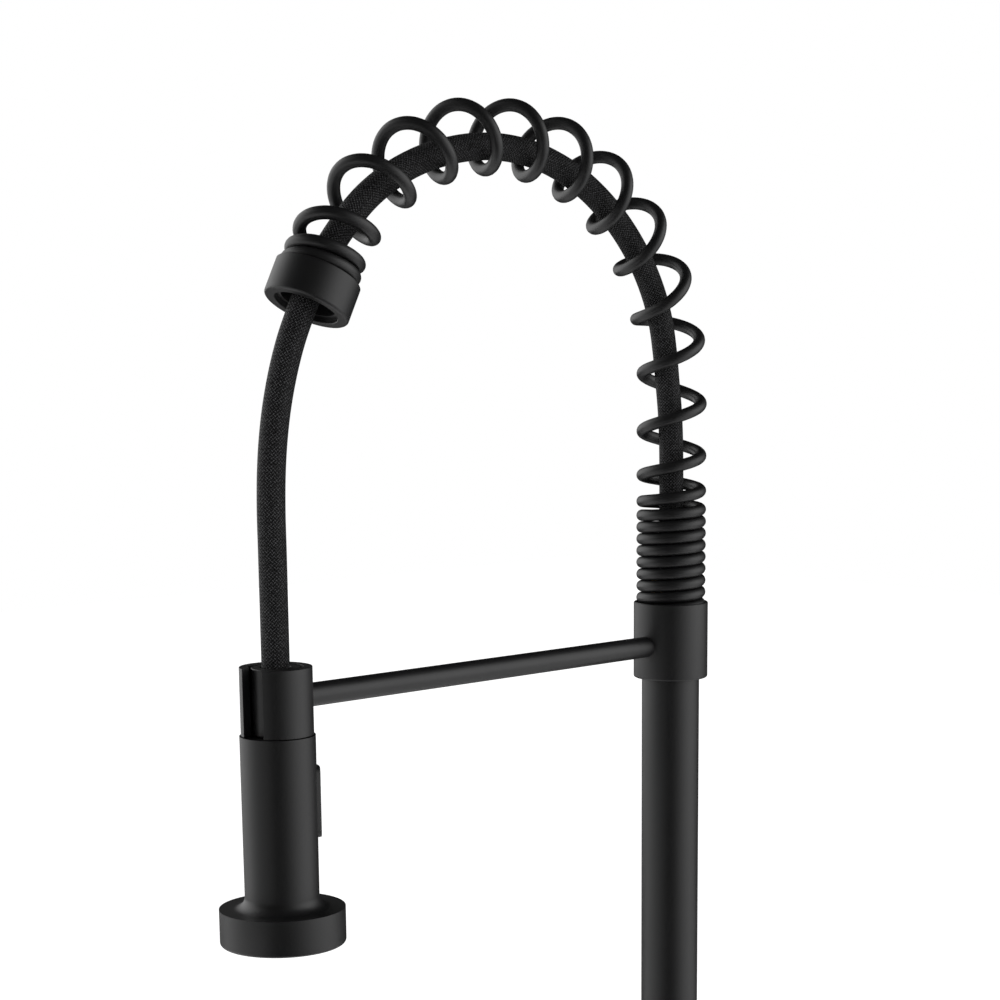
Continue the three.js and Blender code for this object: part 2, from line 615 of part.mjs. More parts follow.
// ---------------------------------------------------------------- handle
function addHandle(axis) {
  // a dome of bonnet round the pivot, open at its crown for the stem
  const inner = BONNET_RADIUS - BONNET_WALL;
  const rise = BOSS_END + GAP - pivotOut;
  const degrees = (cosine) => THREE.MathUtils.radToDeg(Math.acos(cosine));
  const mouthAngle = (radius) => THREE.MathUtils.radToDeg(Math.asin(BONNET_MOUTH / radius));
  const bonnet = turned([
    ...dome(BONNET_RADIUS, pivotOut, degrees(rise / BONNET_RADIUS), mouthAngle(BONNET_RADIUS), 4),
    ...dome(inner, pivotOut, mouthAngle(inner), degrees(rise / inner), 4),
  ]);
  piece(axis, "bonnet", bonnet, blackCoat);

  // stem, drawn straight along the axis from the pivot and then tilted to rest
  const half = STEM_WIDTH / 2;
  const stem = cut(
    join(
      block(-half, half, -half, half, -half, STEM_LENGTH),
      rod(STEM_BALL_RADIUS - 0.6, -stemArm, 0, 10),
      new THREE.SphereGeometry(STEM_BALL_RADIUS, 10, 6).translate(0, 0, -stemArm),
    ),
    alongY(rod(PIVOT_PIN_RADIUS + GAP, -half - 1, half + 1, SLIM)),
  );
  const tilt = (geometry) => geometry.rotateY(restTilt).translate(0, 0, pivotOut);
  piece(axis, "lever_stem", tilt(stem), steel);

  // hub: a dome-ended cap whose hollow clears the bonnet at every lift
  const hollow = BONNET_RADIUS + HUB_CLEARANCE;
  const skirtEdge = pivotOut + hollow * Math.cos(radians(HUB_SKIRT_DEGREES));
  const cap = turned([
    [0, pivotOut + hollow],
    ...dome(hollow, pivotOut, 8, HUB_SKIRT_DEGREES, 4),
    [HUB_RADIUS, skirtEdge],
    ...dome(HUB_RADIUS, HUB_DOME_CENTRE, 90, 15, 5),
    [0, HUB_DOME_CENTRE + HUB_RADIUS],
  ]);
  const socketHalf = half + GAP;
  const stemSocket = tilt(block(-socketHalf, socketHalf, -socketHalf, socketHalf, 5,
    STEM_LENGTH + GAP));
  const leverTurn = -radians(LEVER_DEGREES);
  const onLever = (geometry) => geometry.rotateY(leverTurn).translate(0, 0, HUB_DOME_CENTRE);
  const leverHole = onLever(rod(LEVER_RADIUS + GAP, LEVER_SEAT, HUB_RADIUS + 5));
  const stemFace = (HUB_SCREW_OUT - pivotOut) * Math.tan(restTilt)
    + half / Math.cos(restTilt) + GAP;
  const down = (geometry) => alongX(geometry).translate(0, 0, HUB_SCREW_OUT);
  const screwHole = down(rod(GRUB_RADIUS + GAP, stemFace - half, HUB_RADIUS + 1, SLIM));
  piece(axis, "handle_hub", cut(cap, stemSocket, leverHole, screwHole), blackCoat);

  const screwTip = stemFace + GAP;
  const screw = down(rod(GRUB_RADIUS, screwTip, screwTip + HUB_SCREW_LENGTH, SLIM));
  piece(axis, "hub_screw", screw, steel);
  const plugFloor = screwTip + HUB_SCREW_LENGTH + GAP;
  const plug = down(rod(GRUB_RADIUS, plugFloor, plugFloor + HUB_PLUG_LENGTH, SLIM));
  piece(axis, "hub_plug", plug, greyPlastic);

  const tip = LEVER_SEAT + LEVER_LENGTH;
  const lever = onLever(turned([
    [0, LEVER_SEAT + GAP],
    [LEVER_RADIUS, LEVER_SEAT + GAP],
    [LEVER_RADIUS, tip - LEVER_RADIUS],
    ...dome(LEVER_RADIUS, tip - LEVER_RADIUS, 60, 20, 2),
    [0, tip],
  ], FINE));
  piece(axis, "lever_rod", lever, blackCoat);
}

// ---------------------------------------------------------------- riser
function addRiser(parent) {
  const grooveRadius = spigotRadius - O_RING_DEPTH;
  const lockRadius = spigotRadius - LOCK_GROOVE_DEPTH;
  const lockHalf = LOCK_SCREW_RADIUS + 2 * GAP;
  const lockHeight = BODY_TOP - LOCK_GROOVE_BELOW_TOP;
  const outline = [[SPIGOT_BORE, BODY_TOP - SPIGOT_LENGTH], [spigotRadius, BODY_TOP - SPIGOT_LENGTH]];
  for (const below of O_RING_PLACES) {
    const low = BODY_TOP - below - O_RING_GROOVE / 2;
    const high = low + O_RING_GROOVE;
    outline.push([spigotRadius, low], [grooveRadius, low], [grooveRadius, high], [spigotRadius, high]);
  }
  outline.push(
    [spigotRadius, lockHeight - lockHalf],
    [lockRadius, lockHeight - lockHalf],
    [lockRadius, lockHeight + lockHalf],
    [spigotRadius, lockHeight + lockHalf],
    [spigotRadius, spigotFlangeBottom],
    [RISER_RADIUS, spigotFlangeBottom],
    [RISER_RADIUS, spigotFlangeBottom + SPIGOT_FLANGE],
    [riserBore - GAP, spigotFlangeBottom + SPIGOT_FLANGE],
    [riserBore - GAP, spigotFlangeBottom + SPIGOT_FLANGE + SPIGOT_PLUG],
    [SPIGOT_BORE, spigotFlangeBottom + SPIGOT_FLANGE + SPIGOT_PLUG],
  );
  piece(parent, "swivel_spigot", turned(outline), brass);
  O_RING_PLACES.forEach((below, i) => {
    const ring = oRing(grooveRadius + GAP, spigotRadius, BODY_TOP - below);
    piece(parent, ["spigot_o_ring_lower", "spigot_o_ring_upper"][i], ring, rubber);
  });
  const riser = tube(riserBore, RISER_RADIUS, riserBottom, ARM_HEIGHT + riserTop);
  piece(parent, "riser_tube", riser, blackCoat);
}

// ---------------------------------------------------------------- spring route
/** Centre and heading of the spring's axis, a distance along it from the arm axis height. */
function archAt(distance) {
  let [reach, height, heading] = [0, ARCH_STRAIGHT, 0];
  if (distance <= ARCH_STRAIGHT) return { reach, height: distance, heading };
  let left = distance - ARCH_STRAIGHT;
  for (const bend of ARCH_BENDS) {
    const turn = Math.min(left / bend.radius, radians(bend.degrees));
    reach += bend.radius * (Math.cos(heading) - Math.cos(heading + turn));
    height += bend.radius * (Math.sin(heading + turn) - Math.sin(heading));
    heading += turn;
    left -= turn * bend.radius;
  }
  reach += left * Math.sin(heading);
  height += left * Math.cos(heading);
  return { reach, height, heading };
}

/** Pitch of the winding after so many turns: closed, opening, open, closing, closed. */
function pitchAt(turns) {
  const opened = THREE.MathUtils.smoothstep(turns, CLOSED_TURNS, CLOSED_TURNS + OPENING_TURNS);
  const closing = CLOSED_TURNS + OPENING_TURNS + OPEN_TURNS;
  const closed = THREE.MathUtils.smoothstep(turns, closing, closing + CLOSING_TURNS);
  return CLOSED_PITCH + (OPEN_PITCH - CLOSED_PITCH) * opened * (1 - closed);
}

const springTurns = CLOSED_TURNS + OPENING_TURNS + OPEN_TURNS + CLOSING_TURNS + END_TURNS;
const springStart = cupFloor + GAP + WIRE_RADIUS;
const startDegrees = 141; // where the wire starts, from +X toward +Y
const SUBSTEPS = 8;

/** The wire's centreline: so many points a turn, each with the spring's axis beside it. */
function wirePoints(stepsPerTurn) {
  const count = Math.round(springTurns * stepsPerTurn);
  const points = [];
  let along = springStart;
  for (let i = 0; i <= count; i++) {
    const turns = i / stepsPerTurn;
    const { reach, height, heading } = archAt(along);
    const angle = radians(startDegrees) + 2 * Math.PI * turns;
    const outward = new THREE.Vector3(0, Math.cos(heading), Math.sin(heading));
    const arm = outward.multiplyScalar(Math.sin(angle)).setX(Math.cos(angle));
    const axis = new THREE.Vector3(0, -reach, height);
    points.push({ axis, arm, at: axis.clone().addScaledVector(arm, SPRING_RADIUS), along });
    for (let k = 0; k < SUBSTEPS; k++) {
      along += pitchAt(turns + (k + 0.5) / (SUBSTEPS * stepsPerTurn)) / (SUBSTEPS * stepsPerTurn);
    }
  }
  return points;
}

/** The wire as one unbroken tube of flat facets, its end faces square to its end runs. */
function springWire() {
  const points = wirePoints(CURL_STEPS);
  const vertices = [];
  const faces = [];
  points.forEach(({ at, arm }, i) => {
    const before = points[Math.max(i - 1, 0)].at;
    const after = points[Math.min(i + 1, points.length - 1)].at;
    const tangent = after.clone().sub(before).normalize();
    const side = arm.clone().addScaledVector(tangent, -arm.dot(tangent)).normalize();
    const over = new THREE.Vector3().crossVectors(tangent, side);
    for (let k = 0; k < WIRE_SIDES; k++) {
      const angle = (2 * Math.PI * k) / WIRE_SIDES;
      const corner = at.clone();
      corner.addScaledVector(side, WIRE_RADIUS * Math.cos(angle));
      corner.addScaledVector(over, WIRE_RADIUS * Math.sin(angle));
      vertices.push(corner.x, corner.y, corner.z);
    }
  });
  for (let i = 0; i + 1 < points.length; i++) {
    for (let k = 0; k < WIRE_SIDES; k++) {
      const next = (k + 1) % WIRE_SIDES;
      const [a, b] = [i * WIRE_SIDES + k, i * WIRE_SIDES + next];
      const [c, d] = [a + WIRE_SIDES, b + WIRE_SIDES];
      faces.push(a, b, d, a, d, c);
    }
  }
  const last = (points.length - 1) * WIRE_SIDES;
  for (let k = 1; k + 1 < WIRE_SIDES; k++) {
    faces.push(0, k + 1, k, last, last + k, last + k + 1);
  }
  const geometry = new THREE.BufferGeometry();
  geometry.setAttribute("position", new THREE.Float32BufferAttribute(vertices, 3));
  geometry.setIndex(faces);
  return geometry;
}

/** Least gap between the wire and its own next turns, on 48 points a turn. */
function leastSpringGap() {
  const fine = 48;
  const points = wirePoints(fine);
  let least = Infinity;
  for (let i = 0; i < points.length; i++) {
    for (let j = i + fine / 2; j < Math.min(points.length, i + 2 * fine); j++) {
      least = Math.min(least, points[i].at.distanceTo(points[j].at));
    }
  }
  return least - 2 * WIRE_RADIUS;
}

/** Small stop in a cup, GAP before the wire's square end; made in the arm axis frame. */
function wireStop(end, next, outer, depth) {
  const heading = next.at.clone().sub(end.at).normalize();
  const stop = block(-0.2 * WIRE_RADIUS, outer, -STOP_WIDTH - GAP, -GAP, -depth, WIRE_RADIUS);
  const out = end.arm.clone().addScaledVector(heading, -end.arm.dot(heading)).normalize();
  const up = new THREE.Vector3().crossVectors(out, heading);
  const place = new THREE.Matrix4().makeBasis(out, heading, up).setPosition(end.at);
  return stop.applyMatrix4(place);
}

// ---------------------------------------------------------------- collar, arm, dock, spring
function addSpout(parent) {
  const level = frame(parent, [0, 0, ARM_HEIGHT]);
  const wire = wirePoints(CURL_STEPS);
  const sleeve = turned([
    [RISER_RADIUS + GAP, -COLLAR_BELOW],
    [collarRadius - COLLAR_EDGE, -COLLAR_BELOW],
    [collarRadius, -COLLAR_BELOW + COLLAR_EDGE],
    [collarRadius, COLLAR_ABOVE],
    [cupRadius, COLLAR_ABOVE],
    [cupRadius, cupFloor],
    [RISER_RADIUS + GAP, cupFloor],
  ], WIDE);
  const armSocket = (centre, wall) => alongY(rod(ARM_RADIUS + GAP, centre - wall, centre + wall));
  const screwHole = alongY(rod(GRUB_RADIUS + GAP, 0, collarRadius + 1, SLIM));
  const stop = wireStop(wire[0], wire[1], cupRadius + CUP_RIM / 2 - SPRING_RADIUS,
    WIRE_RADIUS + 2 * GAP);
  const collar = cut(
    join(sleeve, common(stop, rod(collarRadius - CUP_RIM / 2, 0, COLLAR_ABOVE, WIDE))),
    armSocket(-collarRadius, ARM_SEAT),
    screwHole.translate(0, 0, -COLLAR_SCREW_BELOW),
  );
  piece(level, "collar", collar, blackCoat);
  const grub = alongY(rod(GRUB_RADIUS, RISER_RADIUS + GAP, collarRadius - GAP, SLIM));
  piece(level, "collar_screw", grub.translate(0, 0, -COLLAR_SCREW_BELOW), steel);

  const armFrom = -REACH + dockRadius - ARM_SEAT + GAP;
  const armTo = -collarRadius + ARM_SEAT - GAP;
  piece(level, "arm_rod", alongY(rod(ARM_RADIUS, armFrom, armTo, 24)), blackCoat);

  const slotHalf = DOCK_SLOT / 2;
  const slot = block(-slotHalf, slotHalf, -dockRadius - 1, 0, -DOCK_BELOW - 1, DOCK_ABOVE + 1);
  const dock = cut(
    tube(DOCK_BORE, dockRadius, -DOCK_BELOW, DOCK_ABOVE, WIDE),
    slot.rotateZ(radians(DOCK_SLOT_TURN)),
    armSocket(dockRadius, ARM_SEAT),
  );
  piece(level, "dock_sleeve", dock.translate(0, -REACH, 0), blackCoat);

  // hose adapter in the riser's top, with the nut that holds the hose's upper end
  const flangeRadius = ferruleRadius + FERRULE_FLANGE;
  const stubTop = riserTop + STUB_HEIGHT;
  const adapter = turned([
    [STUB_BORE, riserTop - ADAPTER_PLUG],
    [riserBore - GAP, riserTop - ADAPTER_PLUG],
    [riserBore - GAP, riserTop],
    [flangeRadius, riserTop],
    [flangeRadius, stubTop],
    [STUB_BORE, stubTop],
  ], 24);
  piece(level, "riser_adapter", adapter, brass);
  const washerFloor = stubTop + GAP;
  const washer = tube(STUB_BORE, flangeRadius, washerFloor, washerFloor + WASHER_THICKNESS, FINE);
  piece(level, "upper_hose_washer", washer, rubber);
  const ferruleFloor = washerFloor + WASHER_THICKNESS + GAP;
  piece(level, "upper_ferrule", ferrule(ferruleFloor, UPPER_FERRULE_LENGTH, flangeRadius), steel);
  const lipFloor = ferruleFloor + FERRULE_FLOOR + GAP;
  const nutBore = flangeRadius + GAP;
  const nut = turned([
    [nutBore, stubTop - HOSE_NUT_SKIRT],
    [nutBore + HOSE_NUT_WALL, stubTop - HOSE_NUT_SKIRT],
    [nutBore + HOSE_NUT_WALL, lipFloor + HOSE_NUT_LIP],
    [ferruleRadius + GAP, lipFloor + HOSE_NUT_LIP],
    [ferruleRadius + GAP, lipFloor],
    [nutBore, lipFloor],
  ], 24);
  piece(level, "upper_hose_nut", nut, brass);

  piece(level, "spring", springWire(), blackCoat);
  console.log(`spring: ${springTurns.toFixed(2)} turns, least gap to itself ${leastSpringGap().toFixed(2)} mm`);
  addEndRing(level, wire);
  piece(level, "hose", hoseTube(), braid);
}

/** Crimped sleeve round a hose end, its floor at the given height and its mouth above. */
function ferrule(floor, length, flangeRadius) {
  return turned([
    [FERRULE_BORE, floor],
    [flangeRadius, floor],
    [flangeRadius, floor + FERRULE_FLOOR],
    [ferruleRadius, floor + FERRULE_FLOOR],
    [ferruleRadius, floor + length],
    [HOSE_RADIUS + GAP, floor + length],
    [HOSE_RADIUS + GAP, floor + FERRULE_FLOOR],
    [FERRULE_BORE, floor + FERRULE_FLOOR],
  ], FINE);
}

/** Ring on the spring's free end: a cup for the last turn, a web, and an open foot. */
function addEndRing(level, wire) {
  const [end, next] = [wire.at(-1), wire.at(-2)];
  const { reach, height, heading } = archAt(end.along + WIRE_RADIUS + GAP);
  // this frame's +Z looks back up the spring, out of the cup, and its z = 0 is the cup's floor
  const axis = frame(level, [0, -reach, height], [Math.PI + heading, 0, 0]);
  const foot = -(RING_LENGTH - CUP_DEPTH);
  const body = turned([
    [RING_BORE, foot],
    [RING_RADIUS - RING_EDGE, foot],
    [RING_RADIUS, foot + RING_EDGE],
    [RING_RADIUS, CUP_DEPTH],
    [cupRadius, CUP_DEPTH],
    [cupRadius, 0],
    [RING_WEB_BORE, 0],
    [RING_WEB_BORE, -RING_WEB],
    [RING_BORE, -RING_WEB],
  ], WIDE);
  axis.updateWorldMatrix(true, false);
  const toAxis = axis.matrix.clone().invert();
  const stop = wireStop(end, next, RING_RADIUS, WIRE_RADIUS + 2 * GAP).applyMatrix4(toAxis);
  const held = common(stop, rod((cupRadius + RING_RADIUS) / 2, -GAP, CUP_DEPTH, WIDE));
  piece(axis, "spring_end_ring", join(body, held), blackCoat);
}

function hoseTube() {
  const route = new THREE.CatmullRomCurve3(
    HOSE_ROUTE.map(([reach, height]) => new THREE.Vector3(0, -reach, height)),
    false,
    "centripetal",
  );
  const section = new THREE.Shape(
    Array.from({ length: HOSE_SIDES }, (_, i) => {
      const angle = (2 * Math.PI * i) / HOSE_SIDES;
      return new THREE.Vector2(HOSE_RADIUS * Math.cos(angle), HOSE_RADIUS * Math.sin(angle));
    })
  );
  const settings = { steps: HOSE_STEPS, extrudePath: route, bevelEnabled: false };
  return new THREE.ExtrudeGeometry(section, settings);
}

// ---------------------------------------------------------------- spray head
function addHoseEnd(head) {
  const washerFloor = NECK_FLOOR + GAP;
  const flangeRadius = ferruleRadius + 0.2;
  const washer = tube(NECK_BORE, flangeRadius, washerFloor, washerFloor + WASHER_THICKNESS, FINE);
  piece(head, "lower_hose_washer", washer, rubber);
  const floor = washerFloor + WASHER_THICKNESS + GAP;
  piece(head, "lower_ferrule", ferrule(floor, LOWER_FERRULE_LENGTH, flangeRadius), steel);
}

function addNeck(head) {
  const chamber = ferruleRadius + 0.2 + GAP;
  const threadFoot = -DOCK_BELOW - NECK_THREAD_LENGTH;
  const neck = turned([
    [NECK_BORE, threadFoot],
    [NECK_THREAD_RADIUS, threadFoot],
    [NECK_THREAD_RADIUS, -DOCK_BELOW],
    [NECK_RADIUS, -DOCK_BELOW],
    [NECK_RADIUS, NECK_TOP],
    [HOSE_RADIUS + GAP, NECK_TOP],
    [HOSE_RADIUS + GAP, NECK_TOP - NECK_LIP],
    [chamber, NECK_TOP - NECK_LIP],
    [chamber, NECK_FLOOR],
    [NECK_BORE, NECK_FLOOR],
  ]);
  piece(head, "head_neck", neck, blackCoat);
  const nutTop = headTop - HEAD_TOP_WALL - GAP;
  const nutFloor = nutTop - NECK_NUT_HEIGHT;
  const nut = cut(
    rod(NECK_NUT_RADIUS, nutFloor, nutTop, 6),
    rod(NECK_THREAD_RADIUS + GAP, nutFloor - 1, nutTop + 1, ROUND),
  );
  piece(head, "neck_nut", nut, brass);
  const screen = cut(
    rod(NECK_BORE - GAP, threadFoot + 2, threadFoot + 2 + SCREEN_THICKNESS),
    ...ringOfBars(SCREEN_HOLE / 2, 2.6, 6, threadFoot + 1, threadFoot + 4, 5),
    rod(SCREEN_HOLE / 2, threadFoot + 1, threadFoot + 4, 5),
  );
  piece(head, "inlet_screen", screen, steel);
  const sealTop = threadFoot - GAP;
  const seal = tube(NECK_BORE, NECK_THREAD_RADIUS, sealTop - WASHER_THICKNESS, sealTop, FINE);
  piece(head, "neck_seal", seal, rubber);
  return sealTop - WASHER_THICKNESS - GAP;
}

/** Bars standing on a circle about +Z. */
function ringOfBars(radius, circle, count, low, high, sides = 8) {
  return Array.from({ length: count }, (_, i) => {
    const angle = (2 * Math.PI * i) / count;
    const bar = rod(radius, low, high, sides);
    return bar.translate(circle * Math.cos(angle), circle * Math.sin(angle), 0);
  });
}

/** Upright rounded rectangle pushed out along +X, from x0 to x1. */
function buttonBlank(width, height, corner, x0, x1) {
  const [w, h] = [width / 2 - corner, height / 2 - corner];
  const outline = new THREE.Shape();
  outline.absarc(w, h, corner, 0, Math.PI / 2);
  outline.absarc(-w, h, corner, Math.PI / 2, Math.PI);
  outline.absarc(-w, -h, corner, Math.PI, 1.5 * Math.PI);
  outline.absarc(w, -h, corner, 1.5 * Math.PI, 2 * Math.PI);
  const settings = { depth: x1 - x0, bevelEnabled: false, curveSegments: 4 };
  // the outline's x runs along +Y and its y along +Z
  const blank = new THREE.ExtrudeGeometry(outline, settings);
  return blank.rotateX(Math.PI / 2).rotateZ(Math.PI / 2).translate(x0, 0, BUTTON_MIDDLE);
}

function addShell(head) {
  const bore = HEAD_FOOT_RADIUS - HEAD_WALL;
  const wide = SKIRT_RADIUS - SKIRT_WALL;
  const fillet = Array.from({ length: 5 }, (_, i) => {
    const angle = (Math.PI / 2) * (i / 4);
    return [
      HEAD_FOOT_RADIUS + SKIRT_FILLET * (1 - Math.cos(angle)),
      SKIRT_TOP + SKIRT_FILLET * (1 - Math.sin(angle)),
    ];
  });
  const shell = turned([
    [NECK_THREAD_RADIUS + GAP, headTop],
    [HEAD_RADIUS, headTop],
    ...fillet,
    [SKIRT_RADIUS, SKIRT_TOP],
    [SKIRT_RADIUS, SKIRT_BOTTOM + SKIRT_EDGE],
    [SKIRT_RADIUS - SKIRT_EDGE, SKIRT_BOTTOM],
    [wide, SKIRT_BOTTOM],
    [wide, SKIRT_TOP - SKIRT_WALL],
    [bore, SKIRT_TOP - SKIRT_WALL],
    [bore, headTop - HEAD_TOP_WALL],
    [NECK_THREAD_RADIUS + GAP, headTop - HEAD_TOP_WALL],
  ], WIDE);
  const window = buttonBlank(
    BUTTON_WIDTH + 2 * BUTTON_SIDE_GAP,
    BUTTON_HEIGHT + 2 * BUTTON_END_GAP,
    BUTTON_CORNER,
    CORE_RADIUS,
    HEAD_RADIUS + 2,
  );
  piece(head, "head_shell", cut(shell, window), blackCoat);
}

function addButton(head) {
  const crown = HEAD_RADIUS + BUTTON_PROUD;
  const inside = crown - BUTTON_DEPTH;
  const pill = common(
    buttonBlank(BUTTON_WIDTH, BUTTON_HEIGHT, BUTTON_CORNER, inside, crown + 1),
    rod(crown, SKIRT_TOP, headTop, 48),
  );
  const lug = block(BUTTON_PIN_OUT - 2.2, inside + 0.5, -BUTTON_LUG_HALF, BUTTON_LUG_HALF,
    BUTTON_MIDDLE - 2.5, BUTTON_MIDDLE + 2.5);
  const onPin = (geometry) => alongY(geometry).translate(BUTTON_PIN_OUT, 0, BUTTON_MIDDLE);
  const pinHole = (half) => onPin(rod(BUTTON_PIN_RADIUS + GAP, -half, half, SLIM));
  piece(head, "toggle_button", cut(join(pill, lug), pinHole(BUTTON_LUG_HALF + 1)), blackCoat);
  const pin = onPin(rod(BUTTON_PIN_RADIUS, -BUTTON_PIN_HALF, BUTTON_PIN_HALF, SLIM));
  piece(head, "toggle_pin", pin, steel);

  const height = BUTTON_MIDDLE - PLUNGER_DROP;
  const headOuter = inside - GAP;
  const plunger = join(
    rod(PLUNGER_RADIUS, PLUNGER_END, headOuter, SLIM),
    rod(PLUNGER_HEAD_RADIUS, headOuter - PLUNGER_HEAD, headOuter, SLIM),
  );
  piece(head, "diverter_plunger", alongX(plunger).translate(0, 0, height), steel);
  const sealOuter = PLUNGER_HEAD_RADIUS;
  const seal = tube(PLUNGER_RADIUS + GAP, sealOuter, PLUNGER_BOSS_END - PLUNGER_SEAL_DEPTH + GAP,
    PLUNGER_BOSS_END - GAP, SLIM);
  piece(head, "plunger_seal", alongX(seal).translate(0, 0, height), rubber);
}

/** Water core down the middle of the head, carrying the button's ears and plunger boss. */
function addCore(head, coreTop) {
  const discTop = SKIRT_TOP - SKIRT_WALL - GAP;
  const discRadius = SKIRT_RADIUS - SKIRT_WALL - GAP;
  const column = turned([
    [0, discTop - CORE_DISC_THICKNESS],
    [discRadius, discTop - CORE_DISC_THICKNESS],
    [discRadius, discTop],
    [CORE_FOOT_RADIUS, discTop],
    [CORE_FOOT_RADIUS, CORE_FOOT_TOP - CORE_FLARE],
    [CORE_RADIUS, CORE_FOOT_TOP],
    [CORE_RADIUS, coreTop],
    [0, coreTop],
  ]);
  const plungerHeight = BUTTON_MIDDLE - PLUNGER_DROP;
  const lugGap = BUTTON_LUG_HALF + GAP;
  const ears = [-1, 1].map((side) => {
    const [y0, y1] = [side * lugGap, side * (lugGap + EAR_WIDTH)];
    return block(CORE_RADIUS - 4, BUTTON_PIN_OUT + 1.5, Math.min(y0, y1), Math.max(y0, y1),
      BUTTON_MIDDLE - EAR_HALF_HEIGHT, BUTTON_MIDDLE + EAR_HALF_HEIGHT);
  });
  const boss = alongX(rod(PLUNGER_BOSS_RADIUS, 0, PLUNGER_BOSS_END, 16));
  const plungerBore = alongX(rod(PLUNGER_RADIUS + GAP, PLUNGER_END - 1, PLUNGER_BOSS_END + 1, SLIM));
  const sealSeat = alongX(rod(PLUNGER_HEAD_RADIUS + GAP, PLUNGER_BOSS_END - PLUNGER_SEAL_DEPTH,
    PLUNGER_BOSS_END + 1, SLIM));
  const pinBore = alongY(rod(BUTTON_PIN_RADIUS + GAP, -CORE_RADIUS, CORE_RADIUS, SLIM));
  const lugRoom = block(BUTTON_PIN_OUT - 2.2 - 2 * GAP, BUTTON_PIN_OUT + 2, -lugGap, lugGap,
    BUTTON_MIDDLE - EAR_HALF_HEIGHT - 1, BUTTON_MIDDLE + EAR_HALF_HEIGHT + 1);
  const passages = ringOfBars(1.8, discRadius - 5, 8, discTop - CORE_DISC_THICKNESS - 1, discTop + 1);
  const core = cut(
    join(column, boss.translate(0, 0, plungerHeight), ...ears),
    rod(CORE_BORE, discTop - CORE_DISC_THICKNESS - 1, coreTop + 1),
    rod(VALVE_SEAT_RADIUS, coreTop - GAP - VALVE_LENGTH - GAP, coreTop + 1),
    plungerBore.translate(0, 0, plungerHeight),
    sealSeat.translate(0, 0, plungerHeight),
    pinBore.translate(BUTTON_PIN_OUT, 0, BUTTON_MIDDLE),
    lugRoom,
    ...passages,
  );
  piece(head, "water_core", core, whitePlastic);
  const valveTop = coreTop - GAP;
  const valve = tube(VALVE_BORE, VALVE_SEAT_RADIUS - GAP, valveTop - VALVE_LENGTH, valveTop, FINE);
  piece(head, "check_valve", valve, greyPlastic);
  return discTop - CORE_DISC_THICKNESS;
}

function addSprayFace(head, discFoot) {
  const outer = SKIRT_RADIUS - SKIRT_WALL - GAP;
  const ringFoot = SKIRT_BOTTOM + GAP;
  const seat = outer - FACE_RING_WALL;
  const lipTop = ringFoot + FACE_RING_LIP;
  const faceRing = turned([
    [seat - FACE_RING_WALL / 2, ringFoot],
    [outer, ringFoot],
    [outer, discFoot - GAP],
    [seat, discFoot - GAP],
    [seat, lipTop],
    [seat - FACE_RING_WALL / 2, lipTop],
  ]);
  piece(head, "face_ring", faceRing, blackCoat);
  const matFloor = lipTop + GAP;
  const nozzles = NOZZLE_RINGS.flatMap(({ radius, count }) =>
    ringOfBars(NOZZLE_RADIUS, radius, count, matFloor - NOZZLE_LENGTH, matFloor + 1, 5)
  );
  const mat = tube(AERATOR_RADIUS + GAP, seat - GAP, matFloor, matFloor + MAT_THICKNESS);
  piece(head, "nozzle_mat", join(mat, ...nozzles), rubber);
  const aeratorBore = AERATOR_RADIUS - AERATOR_WALL;
  const aeratorFoot = SKIRT_BOTTOM + AERATOR_FOOT;
  const screenSeat = aeratorFoot + AERATOR_WALL;
  const housing = turned([
    [aeratorBore - 1, aeratorFoot],
    [AERATOR_RADIUS, aeratorFoot],
    [AERATOR_RADIUS, discFoot - GAP],
    [aeratorBore, discFoot - GAP],
    [aeratorBore, screenSeat],
    [aeratorBore - 1, screenSeat],
  ], FINE);
  piece(head, "aerator_housing", housing, greyPlastic);
  const screen = cut(
    rod(aeratorBore - GAP, screenSeat + GAP, screenSeat + GAP + SCREEN_THICKNESS),
    ...ringOfBars(SCREEN_HOLE, 4.2, 6, screenSeat - 1, screenSeat + 4, 6),
    rod(SCREEN_HOLE, screenSeat - 1, screenSeat + 4, 6),
  );
  piece(head, "aerator_screen", screen, steel);
}

addDeckClamp(faucet);
addValveBody(faucet);
addHandle(addCartridge(faucet));
addRiser(faucet);
addSpout(faucet);
const head = frame(faucet, [0, -REACH, ARM_HEIGHT], [0, 0, radians(BUTTON_AZIMUTH)]);
addHoseEnd(head);
const coreTop = addNeck(head);
addShell(head);
addButton(head);
addSprayFace(head, addCore(head, coreTop));

export default faucet;
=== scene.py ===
from math import acos, asin, atan2, ceil, cos, degrees, hypot, pi, radians, sin, sqrt

import bmesh
import bpy
from mathutils import Matrix, Vector


